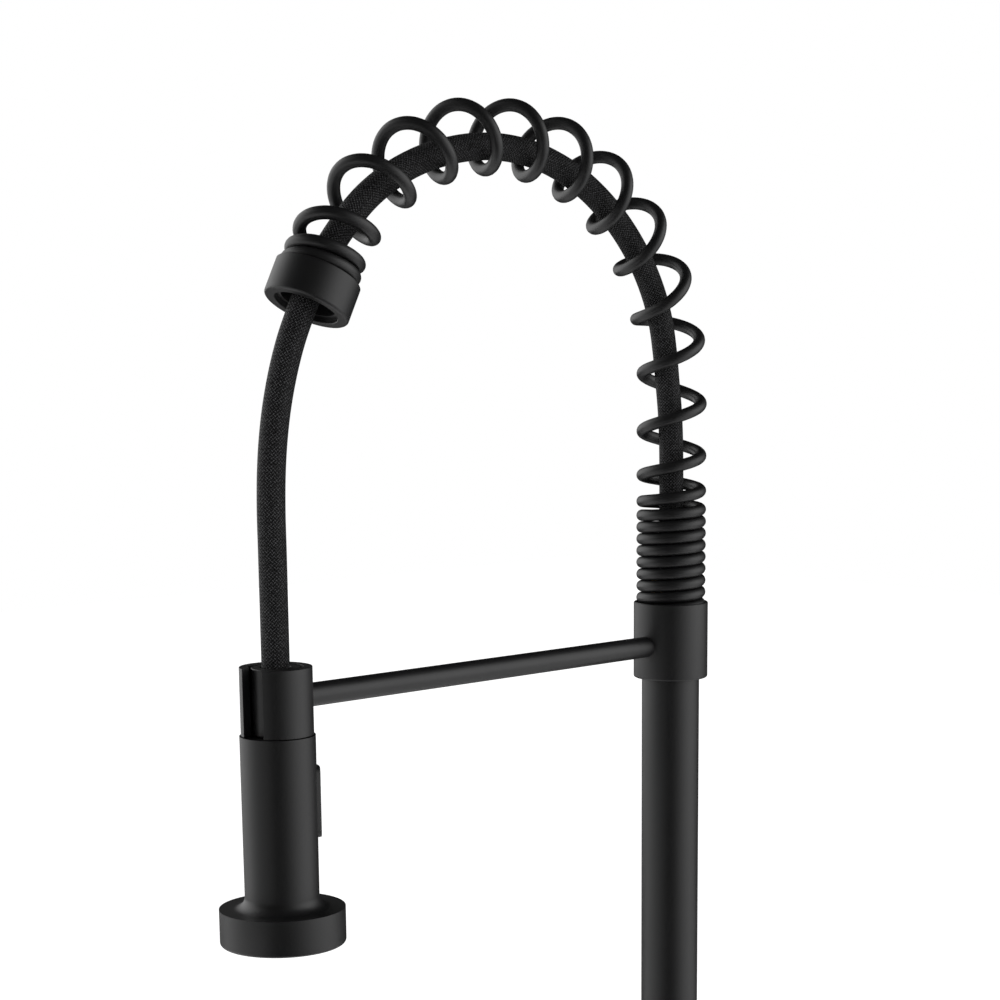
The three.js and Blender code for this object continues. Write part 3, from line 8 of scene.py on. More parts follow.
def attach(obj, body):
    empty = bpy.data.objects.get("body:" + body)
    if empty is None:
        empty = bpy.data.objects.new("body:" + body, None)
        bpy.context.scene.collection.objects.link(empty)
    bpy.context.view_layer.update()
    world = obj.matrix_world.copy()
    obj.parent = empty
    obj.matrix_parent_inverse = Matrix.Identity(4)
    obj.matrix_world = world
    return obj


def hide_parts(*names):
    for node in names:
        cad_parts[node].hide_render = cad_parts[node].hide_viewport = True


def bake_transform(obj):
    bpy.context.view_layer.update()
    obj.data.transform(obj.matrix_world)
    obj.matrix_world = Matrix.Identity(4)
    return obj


# A pull-down kitchen faucet in matte black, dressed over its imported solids.
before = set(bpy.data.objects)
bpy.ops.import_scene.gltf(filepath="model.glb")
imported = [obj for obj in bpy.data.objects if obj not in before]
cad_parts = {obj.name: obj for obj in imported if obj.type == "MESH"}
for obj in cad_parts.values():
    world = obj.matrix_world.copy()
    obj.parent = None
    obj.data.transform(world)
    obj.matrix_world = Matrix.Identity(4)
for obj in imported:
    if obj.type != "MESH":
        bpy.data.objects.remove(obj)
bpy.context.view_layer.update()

# ------------ camera
# A long lens, a little above the arm and to the handle's side of the spout. The upward
# shift keeps the riser upright while the picture shows only the faucet's upper part.
ARM = 412.0  # arm axis above the deck, mm
REACH = 242.0  # riser axis to spray head axis, mm


def mm(*sizes):
    """Millimetres to metres: one number, or a point."""
    return sizes[0] / 1000 if len(sizes) == 1 else Vector(sizes) / 1000


lens = bpy.data.cameras.new("lens")
lens.lens = 82.14
lens.sensor_width = 36
lens.shift_x = -0.1196
lens.shift_y = 0.2792
camera = bpy.data.objects.new("camera", lens)
camera.location = mm(738.2, -820.7, ARM + 144.85)
camera.rotation_euler = (radians(79.12), 0, radians(43.26))
bpy.context.scene.collection.objects.link(camera)
bpy.context.scene.camera = camera
bpy.context.scene.view_settings.view_transform = "Standard"

# ------------ studio
# A white sweep in soft daylight from the sides and from below. Dark cloths overhead and on
# the floor, and a wall of lit and unlit panels, shape the black pieces by reflection only.


def linear(colour):
    """sRGB hex such as "#1d1d1e" to the linear colour that a shader takes."""
    channels = [int(colour[i:i + 2], 16) / 255 for i in (1, 3, 5)]
    return [c / 12.92 if c <= 0.04045 else ((c + 0.055) / 1.055) ** 2.4
            for c in channels] + [1.0]


def feed(tree, node, inputs):
    """Sets a node's inputs; each is a plain value or the socket that feeds it."""
    for socket, value in inputs.items():
        if isinstance(value, bpy.types.NodeSocket):
            tree.links.new(value, node.inputs[socket])
        else:
            node.inputs[socket].default_value = value


def add_node(tree, kind, inputs=None, **settings):
    """Adds a node with these settings and inputs."""
    made = tree.nodes.new(kind)
    for key, value in settings.items():
        setattr(made, key, value)
    feed(tree, made, inputs or {})
    return made


def reckon(tree, operation, *values):
    """One step of arithmetic on plain values and sockets."""
    return add_node(tree, "ShaderNodeMath", dict(enumerate(values)),
                    operation=operation).outputs[0]


def ranged(tree, value, low, high, start=0.0, end=1.0):
    """Runs from low to high, and no further, as the value runs from start to end."""
    return add_node(tree, "ShaderNodeMapRange",
                    {"Value": value, "From Min": start, "From Max": end,
                     "To Min": low, "To Max": high}).outputs[0]


def seen_directly(tree):
    """1 where the eye, a reflection or a see-through ray looks, and 0 for soft light."""
    path = add_node(tree, "ShaderNodeLightPath").outputs
    seen = reckon(tree, "MAXIMUM", path["Is Camera Ray"], path["Is Glossy Ray"])
    return reckon(tree, "MAXIMUM", seen, path["Is Transmission Ray"])


world = bpy.data.worlds.new("studio")
world.use_nodes = True
world.cycles.sampling_method = "NONE"
bpy.context.scene.world = world
sky = world.node_tree
sky.nodes.clear()
white = add_node(sky, "ShaderNodeBackground", {"Color": linear("#ffffff"), "Strength": 1.0})
up = add_node(sky, "ShaderNodeSeparateXYZ",
              {0: add_node(sky, "ShaderNodeTexCoord").outputs["Generated"]}).outputs["Z"]
daylight = add_node(sky, "ShaderNodeBackground",
                    {"Color": linear("#ffffff"), "Strength": ranged(sky, up, 1.25, 0.3, 0.1, 0.8)})
either = add_node(sky, "ShaderNodeMixShader",
                  {0: seen_directly(sky), 1: daylight.outputs[0], 2: white.outputs[0]})
add_node(sky, "ShaderNodeOutputWorld", {"Surface": either.outputs[0]})


def studio_surface(name, shape):
    """A sheet of the studio from its bmesh, with an empty material."""
    mesh = bpy.data.meshes.new(name)
    shape.to_mesh(mesh)
    shape.free()
    sheet = bpy.data.objects.new(name, mesh)
    bpy.context.scene.collection.objects.link(sheet)
    paint = bpy.data.materials.new(name)
    paint.use_nodes = True
    paint.node_tree.nodes.clear()
    mesh.materials.append(paint)
    return sheet, paint.node_tree


FLOOR_HEIGHT = -0.0745  # the studio's sizes are in metres
FLOOR_HALF = 4.0
ground = bmesh.new()
bmesh.ops.create_grid(ground, x_segments=1, y_segments=1, size=FLOOR_HALF,
                      matrix=Matrix.Translation((0, 0, FLOOR_HEIGHT)))
paper = studio_surface("floor", ground)[1]
matte = add_node(paper, "ShaderNodeBsdfDiffuse", {"Color": linear("#eeeeee")})
glow = add_node(paper, "ShaderNodeEmission", {"Color": linear("#ffffff"), "Strength": 0.72})
lit = add_node(paper, "ShaderNodeAddShader", {0: matte.outputs[0], 1: glow.outputs[0]})
sweep = add_node(paper, "ShaderNodeMixShader",
                 {0: seen_directly(paper), 1: matte.outputs[0], 2: lit.outputs[0]})
add_node(paper, "ShaderNodeOutputMaterial", {"Surface": sweep.outputs[0]})


def reflected_only(name, shape, strength):
    """A cloth or panel that only reflections see; strength is a value, or made from its tree."""
    sheet, tree = studio_surface(name, shape)
    sheet.visible_camera = sheet.visible_diffuse = sheet.visible_shadow = False
    sheet.visible_transmission = False
    value = strength(tree) if callable(strength) else strength
    shade = add_node(tree, "ShaderNodeEmission", {"Color": linear("#ffffff"), "Strength": value})
    add_node(tree, "ShaderNodeOutputMaterial", {"Surface": shade.outputs[0]})


def hoop(radius, low, high):
    """An upright open cylinder round the faucet, in metres."""
    shape = bmesh.new()
    bmesh.ops.create_cone(shape, cap_ends=False, segments=72, radius1=radius, radius2=radius,
                          depth=high - low, matrix=Matrix.Translation((0, 0, (low + high) / 2)))
    return shape


def sheet_at(half_x, half_y, place):
    """A flat sheet of these half sizes, laid by the matrix, in metres."""
    shape = bmesh.new()
    bmesh.ops.create_grid(shape, x_segments=1, y_segments=1, size=1.0,
                          matrix=place @ Matrix.Diagonal((half_x, half_y, 1, 1)))
    return shape


WALL_RADIUS = 2.5
WALL_TOP = 2.5
PANEL_GLOW = 2.1
PANEL_STOPS = [
    (0.0, 0.0), (0.08, 0.02), (0.22, 0.8), (0.35, 1.0), (0.58, 1.0), (0.76, 0.33),
    (0.88, 0.0), (1.0, 0.0),
]  # share of the way round from the far side to the dark middle, and brightness there
CLOTH_GLOW = 0.02
CLOTH_HEIGHT = -0.07
facing = Vector((0.6853, -0.7283, 0.0))  # from the faucet to the camera, level
dark_middle = Matrix.Rotation(radians(-14), 3, "Z") @ facing


def panels(tree):
    """Dark near the camera and behind the faucet, and bright at both sides."""
    place = add_node(tree, "ShaderNodeTexCoord").outputs["Object"]
    level = add_node(tree, "ShaderNodeVectorMath", {0: place, 1: (1, 1, 0)},
                     operation="MULTIPLY").outputs[0]
    outward = add_node(tree, "ShaderNodeVectorMath", {0: level},
                       operation="NORMALIZE").outputs[0]
    along = add_node(tree, "ShaderNodeVectorMath", {0: outward, 1: dark_middle},
                     operation="DOT_PRODUCT").outputs["Value"]
    ramp = add_node(tree, "ShaderNodeValToRGB", {0: ranged(tree, along, 0.0, 1.0, -1.0, 1.0)})
    stops = ramp.color_ramp.elements
    while len(stops) < len(PANEL_STOPS):
        stops.new(0.5)
    for stop, (at, value) in zip(stops, PANEL_STOPS):
        stop.position = at
        stop.color = (value, value, value, 1)
    return reckon(tree, "MULTIPLY", ramp.outputs[0], PANEL_GLOW)


reflected_only("panels", hoop(WALL_RADIUS, FLOOR_HEIGHT, WALL_TOP), panels)
reflected_only("cloth_overhead", sheet_at(2.6, 2.6, Matrix.Translation((0, 0, WALL_TOP))),
               CLOTH_GLOW)
square_on = Matrix.Rotation(atan2(facing.y, facing.x), 4, "Z")
for name, half_deep, half_wide, out in (("cloth_in_front", 1.0, 0.5, 1.3),
                                        ("cloth_behind", 1.0, 2.0, -1.45)):
    spot = Matrix.Translation(facing * out + Vector((0, 0, CLOTH_HEIGHT)))
    reflected_only(name, sheet_at(half_deep, half_wide, spot @ square_on), CLOTH_GLOW)

# ------------ hose
# A rubber inner hose in a braided nylon jacket, 11.6 mm across. It rises inside the spring,
# leaves it at the ring and hangs to the spray head; both ends are crimped in ferrules.
HOSE_DIAMETER = 11.6
HOSE_ROUTE = [
    (0, 34), (0, 60), (0, 84), (0.4, 100), (1.4, 113), (3.1, 126), (5, 139.5),
    (8, 153.5), (13.2, 166.7), (21.6, 180.6), (32.2, 193.1), (44.5, 203.9), (58.2, 212.9),
    (73.1, 219.8), (89.7, 224.7), (106.9, 227), (124.2, 226.7), (141.4, 224), (158.2, 219.2),
    (174.2, 212), (189.1, 202.2), (201.8, 190), (212.1, 177.4), (219, 166), (224.5, 155.6),
    (229.5, 145), (234, 132.5), (237.6, 119), (240, 105.5), (241.4, 92), (242, 78),
    (242, 60), (242, 30), (242, -5.5),
]  # reach from the riser axis, height from the arm axis


def smooth_route(points, step):
    """A centripetal Catmull-Rom curve through the points, resampled at an even step."""
    ends = [2 * points[0] - points[1]] + points + [2 * points[-1] - points[-2]]
    line = [points[0]]
    for p0, p1, p2, p3 in zip(ends, ends[1:], ends[2:], ends[3:]):
        t0, t1, t2 = [sqrt((b - a).length) for a, b in ((p0, p1), (p1, p2), (p2, p3))]
        leave = ((p1 - p0) / t0 - (p2 - p0) / (t0 + t1) + (p2 - p1) / t1) * t1
        arrive = ((p2 - p1) / t1 - (p3 - p1) / (t1 + t2) + (p3 - p2) / t2) * t1
        for k in range(1, 33):
            w = k / 32
            line.append(p1 + leave * w + (3 * (p2 - p1) - 2 * leave - arrive) * w**2
                        + (2 * (p1 - p2) + leave + arrive) * w**3)
    along = [0.0]
    for a, b in zip(line, line[1:]):
        along.append(along[-1] + (b - a).length)
    count = ceil(along[-1] / step)
    even, i = [], 0
    for k in range(count + 1):
        at = along[-1] * k / count
        while i + 2 < len(line) and along[i + 1] < at:
            i += 1
        even.append(line[i].lerp(line[i + 1], (at - along[i]) / (along[i + 1] - along[i])))
    return even, along[-1]


def swept(name, route, radius, sides):
    """A closed round tube along a route in metres, with U along it and V round it."""
    curve = bpy.data.curves.new(name, "CURVE")
    curve.dimensions = "3D"
    curve.twist_mode = "MINIMUM"
    curve.bevel_depth = radius
    curve.bevel_resolution = (sides - 4) // 2
    curve.use_fill_caps = True
    spline = curve.splines.new("POLY")
    spline.points.add(len(route) - 1)
    for point, at in zip(spline.points, route):
        point.co = (*at, 1)
    template = bpy.data.objects.new(name + "_route", curve)
    bpy.context.scene.collection.objects.link(template)
    seen = template.evaluated_get(bpy.context.evaluated_depsgraph_get())
    mesh = bpy.data.meshes.new_from_object(seen)
    bpy.data.objects.remove(template)
    bpy.data.curves.remove(curve)
    return mesh


def finished(name, mesh, material, body, stands_for=(), bevel=0.0):
    """Puts a piece in the scene: mesh or bmesh, smooth faces, finish, rounded edges."""
    if isinstance(mesh, bmesh.types.BMesh):
        shape = mesh
        mesh = bpy.data.meshes.new(name)
        shape.to_mesh(mesh)
        shape.free()
    mesh.name = name
    piece = bpy.data.objects.new(name, mesh)
    bpy.context.scene.collection.objects.link(piece)
    mesh.materials.clear()
    mesh.materials.append(material)
    mesh.shade_smooth()
    mesh.set_sharp_from_angle(angle=radians(32))
    if bevel:
        edge = piece.modifiers.new("rounded edges", "BEVEL")
        edge.width = mm(bevel)
        edge.segments = 3
        edge.limit_method = "ANGLE"
        edge.angle_limit = radians(30)
        edge.harden_normals = True
    if body:
        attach(piece, body)
    if stands_for:
        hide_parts(*stands_for)
    return piece


def new_finish(name):
    """An empty material and its shader, ready for the real finish's values."""
    material = bpy.data.materials.new(name)
    material.use_nodes = True
    tree = material.node_tree
    tree.nodes.clear()
    shader = add_node(tree, "ShaderNodeBsdfPrincipled")
    add_node(tree, "ShaderNodeOutputMaterial", {"Surface": shader.outputs[0]})
    return material, tree, shader


def noise(tree, scale, detail):
    """Noise in the piece's own space, with so many grains to the metre."""
    place = add_node(tree, "ShaderNodeTexCoord").outputs["Object"]
    return add_node(tree, "ShaderNodeTexNoise",
                    {"Vector": place, "Scale": scale, "Detail": detail}).outputs[0]


def between(tree, share, low, high):
    """The colour that lies so far from one hex colour to another."""
    return add_node(tree, "ShaderNodeMix", {0: share, 6: linear(low), 7: linear(high)},
                    data_type="RGBA").outputs[2]


def embossed(tree, height, strength, depth, over=None):
    """The normal of a relief so many mm deep, laid over another where one is given."""
    inputs = {"Height": height, "Strength": strength, "Distance": mm(depth)}
    if over is not None:
        inputs["Normal"] = over
    return add_node(tree, "ShaderNodeBump", inputs).outputs[0]


def crown(tree, lay):
    """0 at a strand's edges and 1 along its middle."""
    centred = reckon(tree, "SUBTRACT", reckon(tree, "FRACT", lay), 0.5)
    doubled = reckon(tree, "MULTIPLY", reckon(tree, "ABSOLUTE", centred), 2.0)
    return reckon(tree, "SUBTRACT", 1.0, doubled)


# Black nylon monofilament, braided one over one: crossing bundles of three threads, with a
# fine glint painted into the base colour where each turns over, a painted highlight. The
# bundles are 1.5 mm wide, so that the weave shows.
BUNDLES = 24  # crossings round the hose
THREADS = 3.0  # in a bundle
hose_route, hose_length = smooth_route([mm(0, -s, ARM + z) for s, z in HOSE_ROUTE], mm(1.5))
rows = hose_length / mm(pi * HOSE_DIAMETER) * BUNDLES
braided_nylon, tree, shader = new_finish("braided nylon")
uv = add_node(tree, "ShaderNodeSeparateXYZ",
              {0: add_node(tree, "ShaderNodeUVMap").outputs[0]}).outputs
lengthwise = reckon(tree, "MULTIPLY", uv["X"], rows)
roundwise = reckon(tree, "MULTIPLY", uv["Y"], BUNDLES)
left_lay = reckon(tree, "ADD", lengthwise, roundwise)
right_lay = reckon(tree, "SUBTRACT", lengthwise, roundwise)
crossing = reckon(tree, "ADD", reckon(tree, "FLOOR", left_lay), reckon(tree, "FLOOR", right_lay))
half_rows = reckon(tree, "MULTIPLY", crossing, 0.5)
right_on_top = reckon(tree, "GREATER_THAN", reckon(tree, "FRACT", half_rows), 0.25)
upper_lay = add_node(tree, "ShaderNodeMix",
                     {0: right_on_top, 2: left_lay, 3: right_lay}).outputs[0]
height = crown(tree, upper_lay)
thread_height = crown(tree, reckon(tree, "MULTIPLY", upper_lay, THREADS))
# Painted highlight: light flecks on the bundles' crowns, put into the base colour as glints.
turned_over = ranged(tree, height, 0.0, 1.0, 0.45, 0.9)
painted_glint_grain = ranged(tree, noise(tree, 1500.0, 1.0), 0.25, 1.0, 0.42, 0.56)
painted_glint = reckon(tree, "MULTIPLY", turned_over, painted_glint_grain)
relief = reckon(tree, "ADD", height, reckon(tree, "MULTIPLY", thread_height, 0.35))
feed(tree, shader, {"Base Color": between(tree, painted_glint, "#030303", "#5c5c5e"),
                    "Normal": embossed(tree, relief, 0.9, 0.35), "Roughness": 0.55,
                    "IOR": 1.53, "Specular IOR Level": 0.14})

hose = finished("hose_braid", swept("hose", hose_route, mm(HOSE_DIAMETER / 2), 40),
                braided_nylon, None, ["hose"])
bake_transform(hose)

# ------------ base flange
# A turned brass disc that covers the deck hole, coated black, with a chamfered top edge and
# a groove underneath that holds its rubber seal.


def turned(outline, steps=128):
    """A turned piece about Z from its closed outline of (radius, height) in mm."""
    shape = bmesh.new()
    corners = [shape.verts.new((mm(r), 0, mm(z))) for r, z in outline]
    edges = [shape.edges.new(pair) for pair in zip(corners, corners[1:] + corners[:1])
             if max(pair[0].co.x, pair[1].co.x) > 1e-7]
    bmesh.ops.spin(shape, geom=corners + edges, cent=(0, 0, 0), axis=(0, 0, 1),
                   angle=2 * pi, steps=steps, use_merge=True)
    bmesh.ops.remove_doubles(shape, verts=shape.verts, dist=1e-7)
    bmesh.ops.recalc_face_normals(shape, faces=shape.faces)
    return shape


# Matte black polyester powder, sprayed on and baked: soft and even, with a very faint
# orange-peel ripple about 1 mm across and a fine grit that takes the shine off.
powder_coat, tree, shader = new_finish("matte black powder coat")
cloud, peel, grit = noise(tree, 45.0, 3.0), noise(tree, 950.0, 1.0), noise(tree, 4200.0, 0.0)
feed(tree, shader, {
    "Base Color": between(tree, cloud, "#101011", "#141416"),
    "Roughness": ranged(tree, cloud, 0.43, 0.5),
    "Normal": embossed(tree, grit, 0.12, 0.02, embossed(tree, peel, 0.1, 0.06))})

SHANK_HOLE = 16.3  # radius that lets the shank through
FLANGE_RADIUS = 27.0
FLANGE_TOP = 6.0
FLANGE_CHAMFER = 1.5
GROOVE_INNER = 19.2
GROOVE_OUTER = 23.8
GROOVE_DEPTH = 2.0
flange = turned([
    (SHANK_HOLE, 0), (GROOVE_INNER, 0), (GROOVE_INNER, GROOVE_DEPTH),
    (GROOVE_OUTER, GROOVE_DEPTH), (GROOVE_OUTER, 0), (FLANGE_RADIUS, 0),
    (FLANGE_RADIUS, FLANGE_TOP - FLANGE_CHAMFER), (FLANGE_RADIUS - FLANGE_CHAMFER, FLANGE_TOP),
    (SHANK_HOLE, FLANGE_TOP)])
finished("base_flange_coated", flange, powder_coat, "base", ["base_flange"], 0.3)

# ------------ rubber seals
# Moulded EPDM rings: under the flange, at the cartridge's ports, on the swivel, at the hose's
# ends and in the spray head. They are the solids as packed, in dull black rubber.


def dress(material, *names):
    """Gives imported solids, whose shapes are right as they are, their real finish."""
    for name in names:
        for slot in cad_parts[name].material_slots:
            slot.material = material


# EPDM, compression moulded: dull, with a faint matte mottle and dusty talc highs.
moulded_rubber, tree, shader = new_finish("moulded EPDM rubber")
dust, skin = noise(tree, 160.0, 4.0), noise(tree, 1800.0, 1.0)
feed(tree, shader, {"Base Color": between(tree, dust, "#101010", "#222221"),
                    "Normal": embossed(tree, skin, 0.2, 0.03), "Roughness": 0.72, "IOR": 1.52})
dress(moulded_rubber, "flange_seal", "port_seal", "spigot_o_ring_lower", "spigot_o_ring_upper",
      "upper_hose_washer", "lower_hose_washer", "neck_seal", "plunger_seal")

# ------------ threaded shank
# Brass tube, threaded all along outside, screwed into the valve body. It passes through the
# deck hole and carries the ring nut from below.
THREAD_DEPTH = 0.6  # share of the pitch
SHANK_RADIUS = 16.0
SHANK_BORE = 12.5
SHANK_PITCH = 1.5
SHANK_FOOT = -62.0
SHANK_TOP = 22.0
THREAD_TOP = -1.0


def joined(*shapes):
    """One piece from several closed shapes."""
    whole = shapes[0]
    for shape in shapes[1:]:
        mesh = bpy.data.meshes.new("part")
        shape.to_mesh(mesh)
        shape.free()
        whole.from_mesh(mesh)
        bpy.data.meshes.remove(mesh)
    return whole


def thread(crest, pitch, low, high, steps):
    """A closed ridge wound right-handed between two heights, sunk a little into its core."""
    root = crest - THREAD_DEPTH * pitch
    turns = int((high - low) / pitch) - 1
    ridge = bmesh.new()
    section = [(root - 0.15, 0.04), (root, 0.04), (crest, 0.42), (crest, 0.58), (root, 0.96),
               (root - 0.15, 0.96)]
    corners = [ridge.verts.new(mm(r, 0, low + share * pitch)) for r, share in section]
    edges = [ridge.edges.new(pair) for pair in zip(corners, corners[1:] + corners[:1])]
    bmesh.ops.spin(ridge, geom=corners + edges, cent=(0, 0, 0), axis=(0, 0, 1),
                   dvec=(0, 0, mm(pitch / steps)), angle=2 * pi * turns, steps=steps * turns)
    bmesh.ops.holes_fill(ridge, edges=[e for e in ridge.edges if e.is_boundary], sides=0)
    bmesh.ops.recalc_face_normals(ridge, faces=ridge.faces)
    return ridge


# Free-cutting brass, turned: fine rings about 0.3 mm apart round the axis, bright on their
# crests and a little warmer and duller where the tool left a groove.
turned_brass, tree, shader = new_finish("turned brass")
place = add_node(tree, "ShaderNodeTexCoord").outputs["Object"]
flattened = add_node(tree, "ShaderNodeMapping", {"Vector": place, "Scale": (25, 25, 1500)})
rings = add_node(tree, "ShaderNodeTexNoise",
                 {"Vector": flattened.outputs[0], "Scale": 2.0, "Detail": 2.0}).outputs[0]
feed(tree, shader, {"Base Color": between(tree, rings, "#a98548", "#d6b876"),
                    "Roughness": ranged(tree, rings, 0.34, 0.22),
                    "Normal": embossed(tree, rings, 0.25, 0.04), "Metallic": 1.0})

shank_core = SHANK_RADIUS - THREAD_DEPTH * SHANK_PITCH
shank = turned([
    (SHANK_BORE, SHANK_FOOT), (shank_core - 0.8, SHANK_FOOT), (shank_core, SHANK_FOOT + 0.8),
    (shank_core, THREAD_TOP), (SHANK_RADIUS, THREAD_TOP), (SHANK_RADIUS, SHANK_TOP),
    (SHANK_BORE, SHANK_TOP)], 96)
ridge = thread(SHANK_RADIUS, SHANK_PITCH, SHANK_FOOT + 0.5, THREAD_TOP - 0.5, 48)
finished("threaded_shank_turned", joined(shank, ridge), turned_brass, "base",
         ["threaded_shank"])

# ------------ deck washers
# A rubber disc and a pressed steel disc that spread the clamp over the deck's underside.
# The jack screws press on the steel one.
WASHER_RADIUS = 28.0
RUBBER_TOP = -30.0
RUBBER_FOOT = -33.0
STEEL_TOP = -33.3
STEEL_FOOT = -35.3


def tube(bore, radius, low, high, steps=128):
    """A plain ring or tube about Z."""
    return turned([(bore, low), (radius, low), (radius, high), (bore, high)], steps)


rubber_disc = tube(SHANK_HOLE, WASHER_RADIUS, RUBBER_FOOT, RUBBER_TOP, 96)
finished("deck_washer_rubber_moulded", rubber_disc, moulded_rubber, "base",
         ["deck_washer_rubber"], 0.5)

# Stainless steel, bead-blasted after machining or pressing: a soft grey with a fine,
# even grain and slightly uneven gloss.
blasted_steel, tree, shader = new_finish("blasted stainless steel")
haze, beads = noise(tree, 220.0, 3.0), noise(tree, 2600.0, 1.0)
feed(tree, shader, {"Base Color": between(tree, haze, "#b2b4b6", "#cccdce"),
                    "Roughness": ranged(tree, haze, 0.28, 0.42),
                    "Normal": embossed(tree, beads, 0.25, 0.02), "Metallic": 1.0})
steel_disc = tube(SHANK_HOLE, WASHER_RADIUS, STEEL_FOOT, STEEL_TOP, 96)
finished("deck_washer_steel_pressed", steel_disc, blasted_steel, "base",
         ["deck_washer_steel"], 0.35)

# ------------ ring nut and jack screws
# A brass ring nut run up the shank by hand. Two M5 steel screws through it jack the washers
# against the deck; their hexagon heads face down for a socket spanner.
NUT_RADIUS = 27.0
NUT_TOP = -38.3
NUT_FOOT = -47.3
NUT_CHAMFER = 1.2
JACK_PLACE = 21.65
JACK_RADIUS = 2.5
JACK_CLEARANCE = 0.3
JACK_PITCH = 0.8
JACK_TIP = -35.6
HEX_TOP = -53.3
HEX_RADIUS = 4.2
HEX_HEIGHT = 4.0


def moved(shape, offset=(0, 0, 0), turn=0.0, about="X"):
    """Turns a piece by so many degrees about an axis through the origin, then shifts it."""
    place = Matrix.Translation(mm(*offset)) @ Matrix.Rotation(radians(turn), 4, about)
    bmesh.ops.transform(shape, verts=shape.verts, matrix=place)
    return shape


def carved(body, unions=(), cuts=()):
    """Joins shapes to a body and cuts others from it, exactly; all are used up."""
    helpers = []
    for shape in (body, *unions, *cuts):
        mesh = bpy.data.meshes.new("blank")
        shape.to_mesh(mesh)
        shape.free()
        helpers.append(bpy.data.objects.new("blank", mesh))
        bpy.context.scene.collection.objects.link(helpers[-1])
    blank = helpers[0]
    for i, tool in enumerate(helpers[1:]):
        step = blank.modifiers.new("cut", "BOOLEAN")
        step.operation = "UNION" if i < len(unions) else "DIFFERENCE"
        step.solver = "EXACT"
        step.object = tool
    mesh = bpy.data.meshes.new_from_object(
        blank.evaluated_get(bpy.context.evaluated_depsgraph_get()))
    for helper in helpers:
        spent = helper.data
        bpy.data.objects.remove(helper)
        bpy.data.meshes.remove(spent)
    shape = bmesh.new()
    shape.from_mesh(mesh)
    bpy.data.meshes.remove(mesh)
    return shape


def bar(radius, low, high, steps=48):
    """A plain round bar about Z."""
    return tube(0, radius, low, high, steps)


ring_nut = turned([
    (SHANK_HOLE, NUT_FOOT), (NUT_RADIUS - NUT_CHAMFER, NUT_FOOT),
    (NUT_RADIUS, NUT_FOOT + NUT_CHAMFER), (NUT_RADIUS, NUT_TOP - NUT_CHAMFER),
    (NUT_RADIUS - NUT_CHAMFER, NUT_TOP), (SHANK_HOLE, NUT_TOP)], 96)
ring_nut = carved(ring_nut, cuts=[
    moved(bar(JACK_RADIUS + JACK_CLEARANCE, -49, -36), (side * JACK_PLACE, 0, 0))
    for side in (-1, 1)])
finished("mounting_nut_turned", ring_nut, turned_brass, "base", ["mounting_nut"])
for side, name in ((-1, "jack_screw_left"), (1, "jack_screw_right")):
    core = JACK_RADIUS - THREAD_DEPTH * JACK_PITCH
    stem = turned([(0, HEX_TOP), (core, HEX_TOP), (core, JACK_TIP - 0.8),
                   (core - 0.6, JACK_TIP), (0, JACK_TIP)], 24)
    hexagon = bmesh.new()
    bmesh.ops.create_cone(hexagon, cap_ends=True, segments=6, radius1=mm(HEX_RADIUS),
                          radius2=mm(HEX_RADIUS), depth=mm(HEX_HEIGHT),
                          matrix=Matrix.Translation(mm(0, 0, HEX_TOP - HEX_HEIGHT / 2)))
    bmesh.ops.bevel(hexagon, geom=hexagon.edges[:], offset=mm(0.3), offset_type="OFFSET",
                    segments=2, profile=0.5, affect="EDGES", material=-1)
    screw = joined(stem, thread(JACK_RADIUS, JACK_PITCH, -53, -36.2, 20), hexagon)
    finished(name + "_machined", moved(screw, (side * JACK_PLACE, 0, 0)), blasted_steel, "base",
             [name])

# ------------ valve body
# Cast brass, turned and coated black: a 50 mm column with a shoulder up to the swivel, and a
# boss blended into its side that the cartridge drops into.
BODY_RADIUS = 25.0
BODY_FOOT = 6.3
BODY_TOP = 140.0
TOP_RADIUS = 17.6
SHOULDER = 3.0  # radius of the body's upper edge
CARTRIDGE_HEIGHT = 76.0
CARTRIDGE_BORE = 17.7
BOSS_RADIUS = 21.0
BOSS_END = 41.5
BLEND = 3.0  # casting fillet between boss and column
SPIGOT_BORE = 11.3
LOCK_HEIGHT = 127.0
LOCK_HOLE = 3.0
INLET_RADIUS = 4.2
INLET_PLACE = 7.0


def arc(radius, reach, height, start, end, steps):
    """Points on an arc about (reach, height), degrees up from straight outward."""
    return [(reach + radius * cos(radians(start + (end - start) * i / steps)),
             height + radius * sin(radians(start + (end - start) * i / steps)))
            for i in range(steps + 1)]


def at_cartridge(shape):
    """Lays a piece made about Z along the boss, at the cartridge's height."""
    return moved(shape, (0, 0, CARTRIDGE_HEIGHT), 90, "Y")


column = turned([
    (0, BODY_FOOT), (BODY_RADIUS - 0.5, BODY_FOOT), (BODY_RADIUS, BODY_FOOT + 0.5),
    *[(BODY_RADIUS, 8 + 4 * k) for k in range(30)],
    *arc(SHOULDER, BODY_RADIUS - SHOULDER, 127.6, 0, 50, 5),
    (18.3, 137.3), (17.75, 138.1), (TOP_RADIUS, 138.7), (TOP_RADIUS, BODY_TOP - 0.3),
    (TOP_RADIUS - 0.3, BODY_TOP), (0, BODY_TOP)])
boss = turned([(0, -6), (20, -6), (BOSS_RADIUS + BLEND + 0.2, -0.3)]
              + [(BOSS_RADIUS + BLEND * (1 - cos(radians(a))), BLEND * (1 - sin(radians(a))))
                 for a in range(84, -1, -12)]
              + [(BOSS_RADIUS, BOSS_END - 0.4), (BOSS_RADIUS - 0.4, BOSS_END), (0, BOSS_END)])
for vertex in boss.verts:
    x, y, z = vertex.co * 1000
    if z < BLEND + 1:  # the blend follows the column's round side
        steepness = 0.3 + 0.7 * (x / max(hypot(x, y), 1e-6)) ** 2
        vertex.co.z = mm(sqrt(BODY_RADIUS**2 - y**2) + z * steepness)
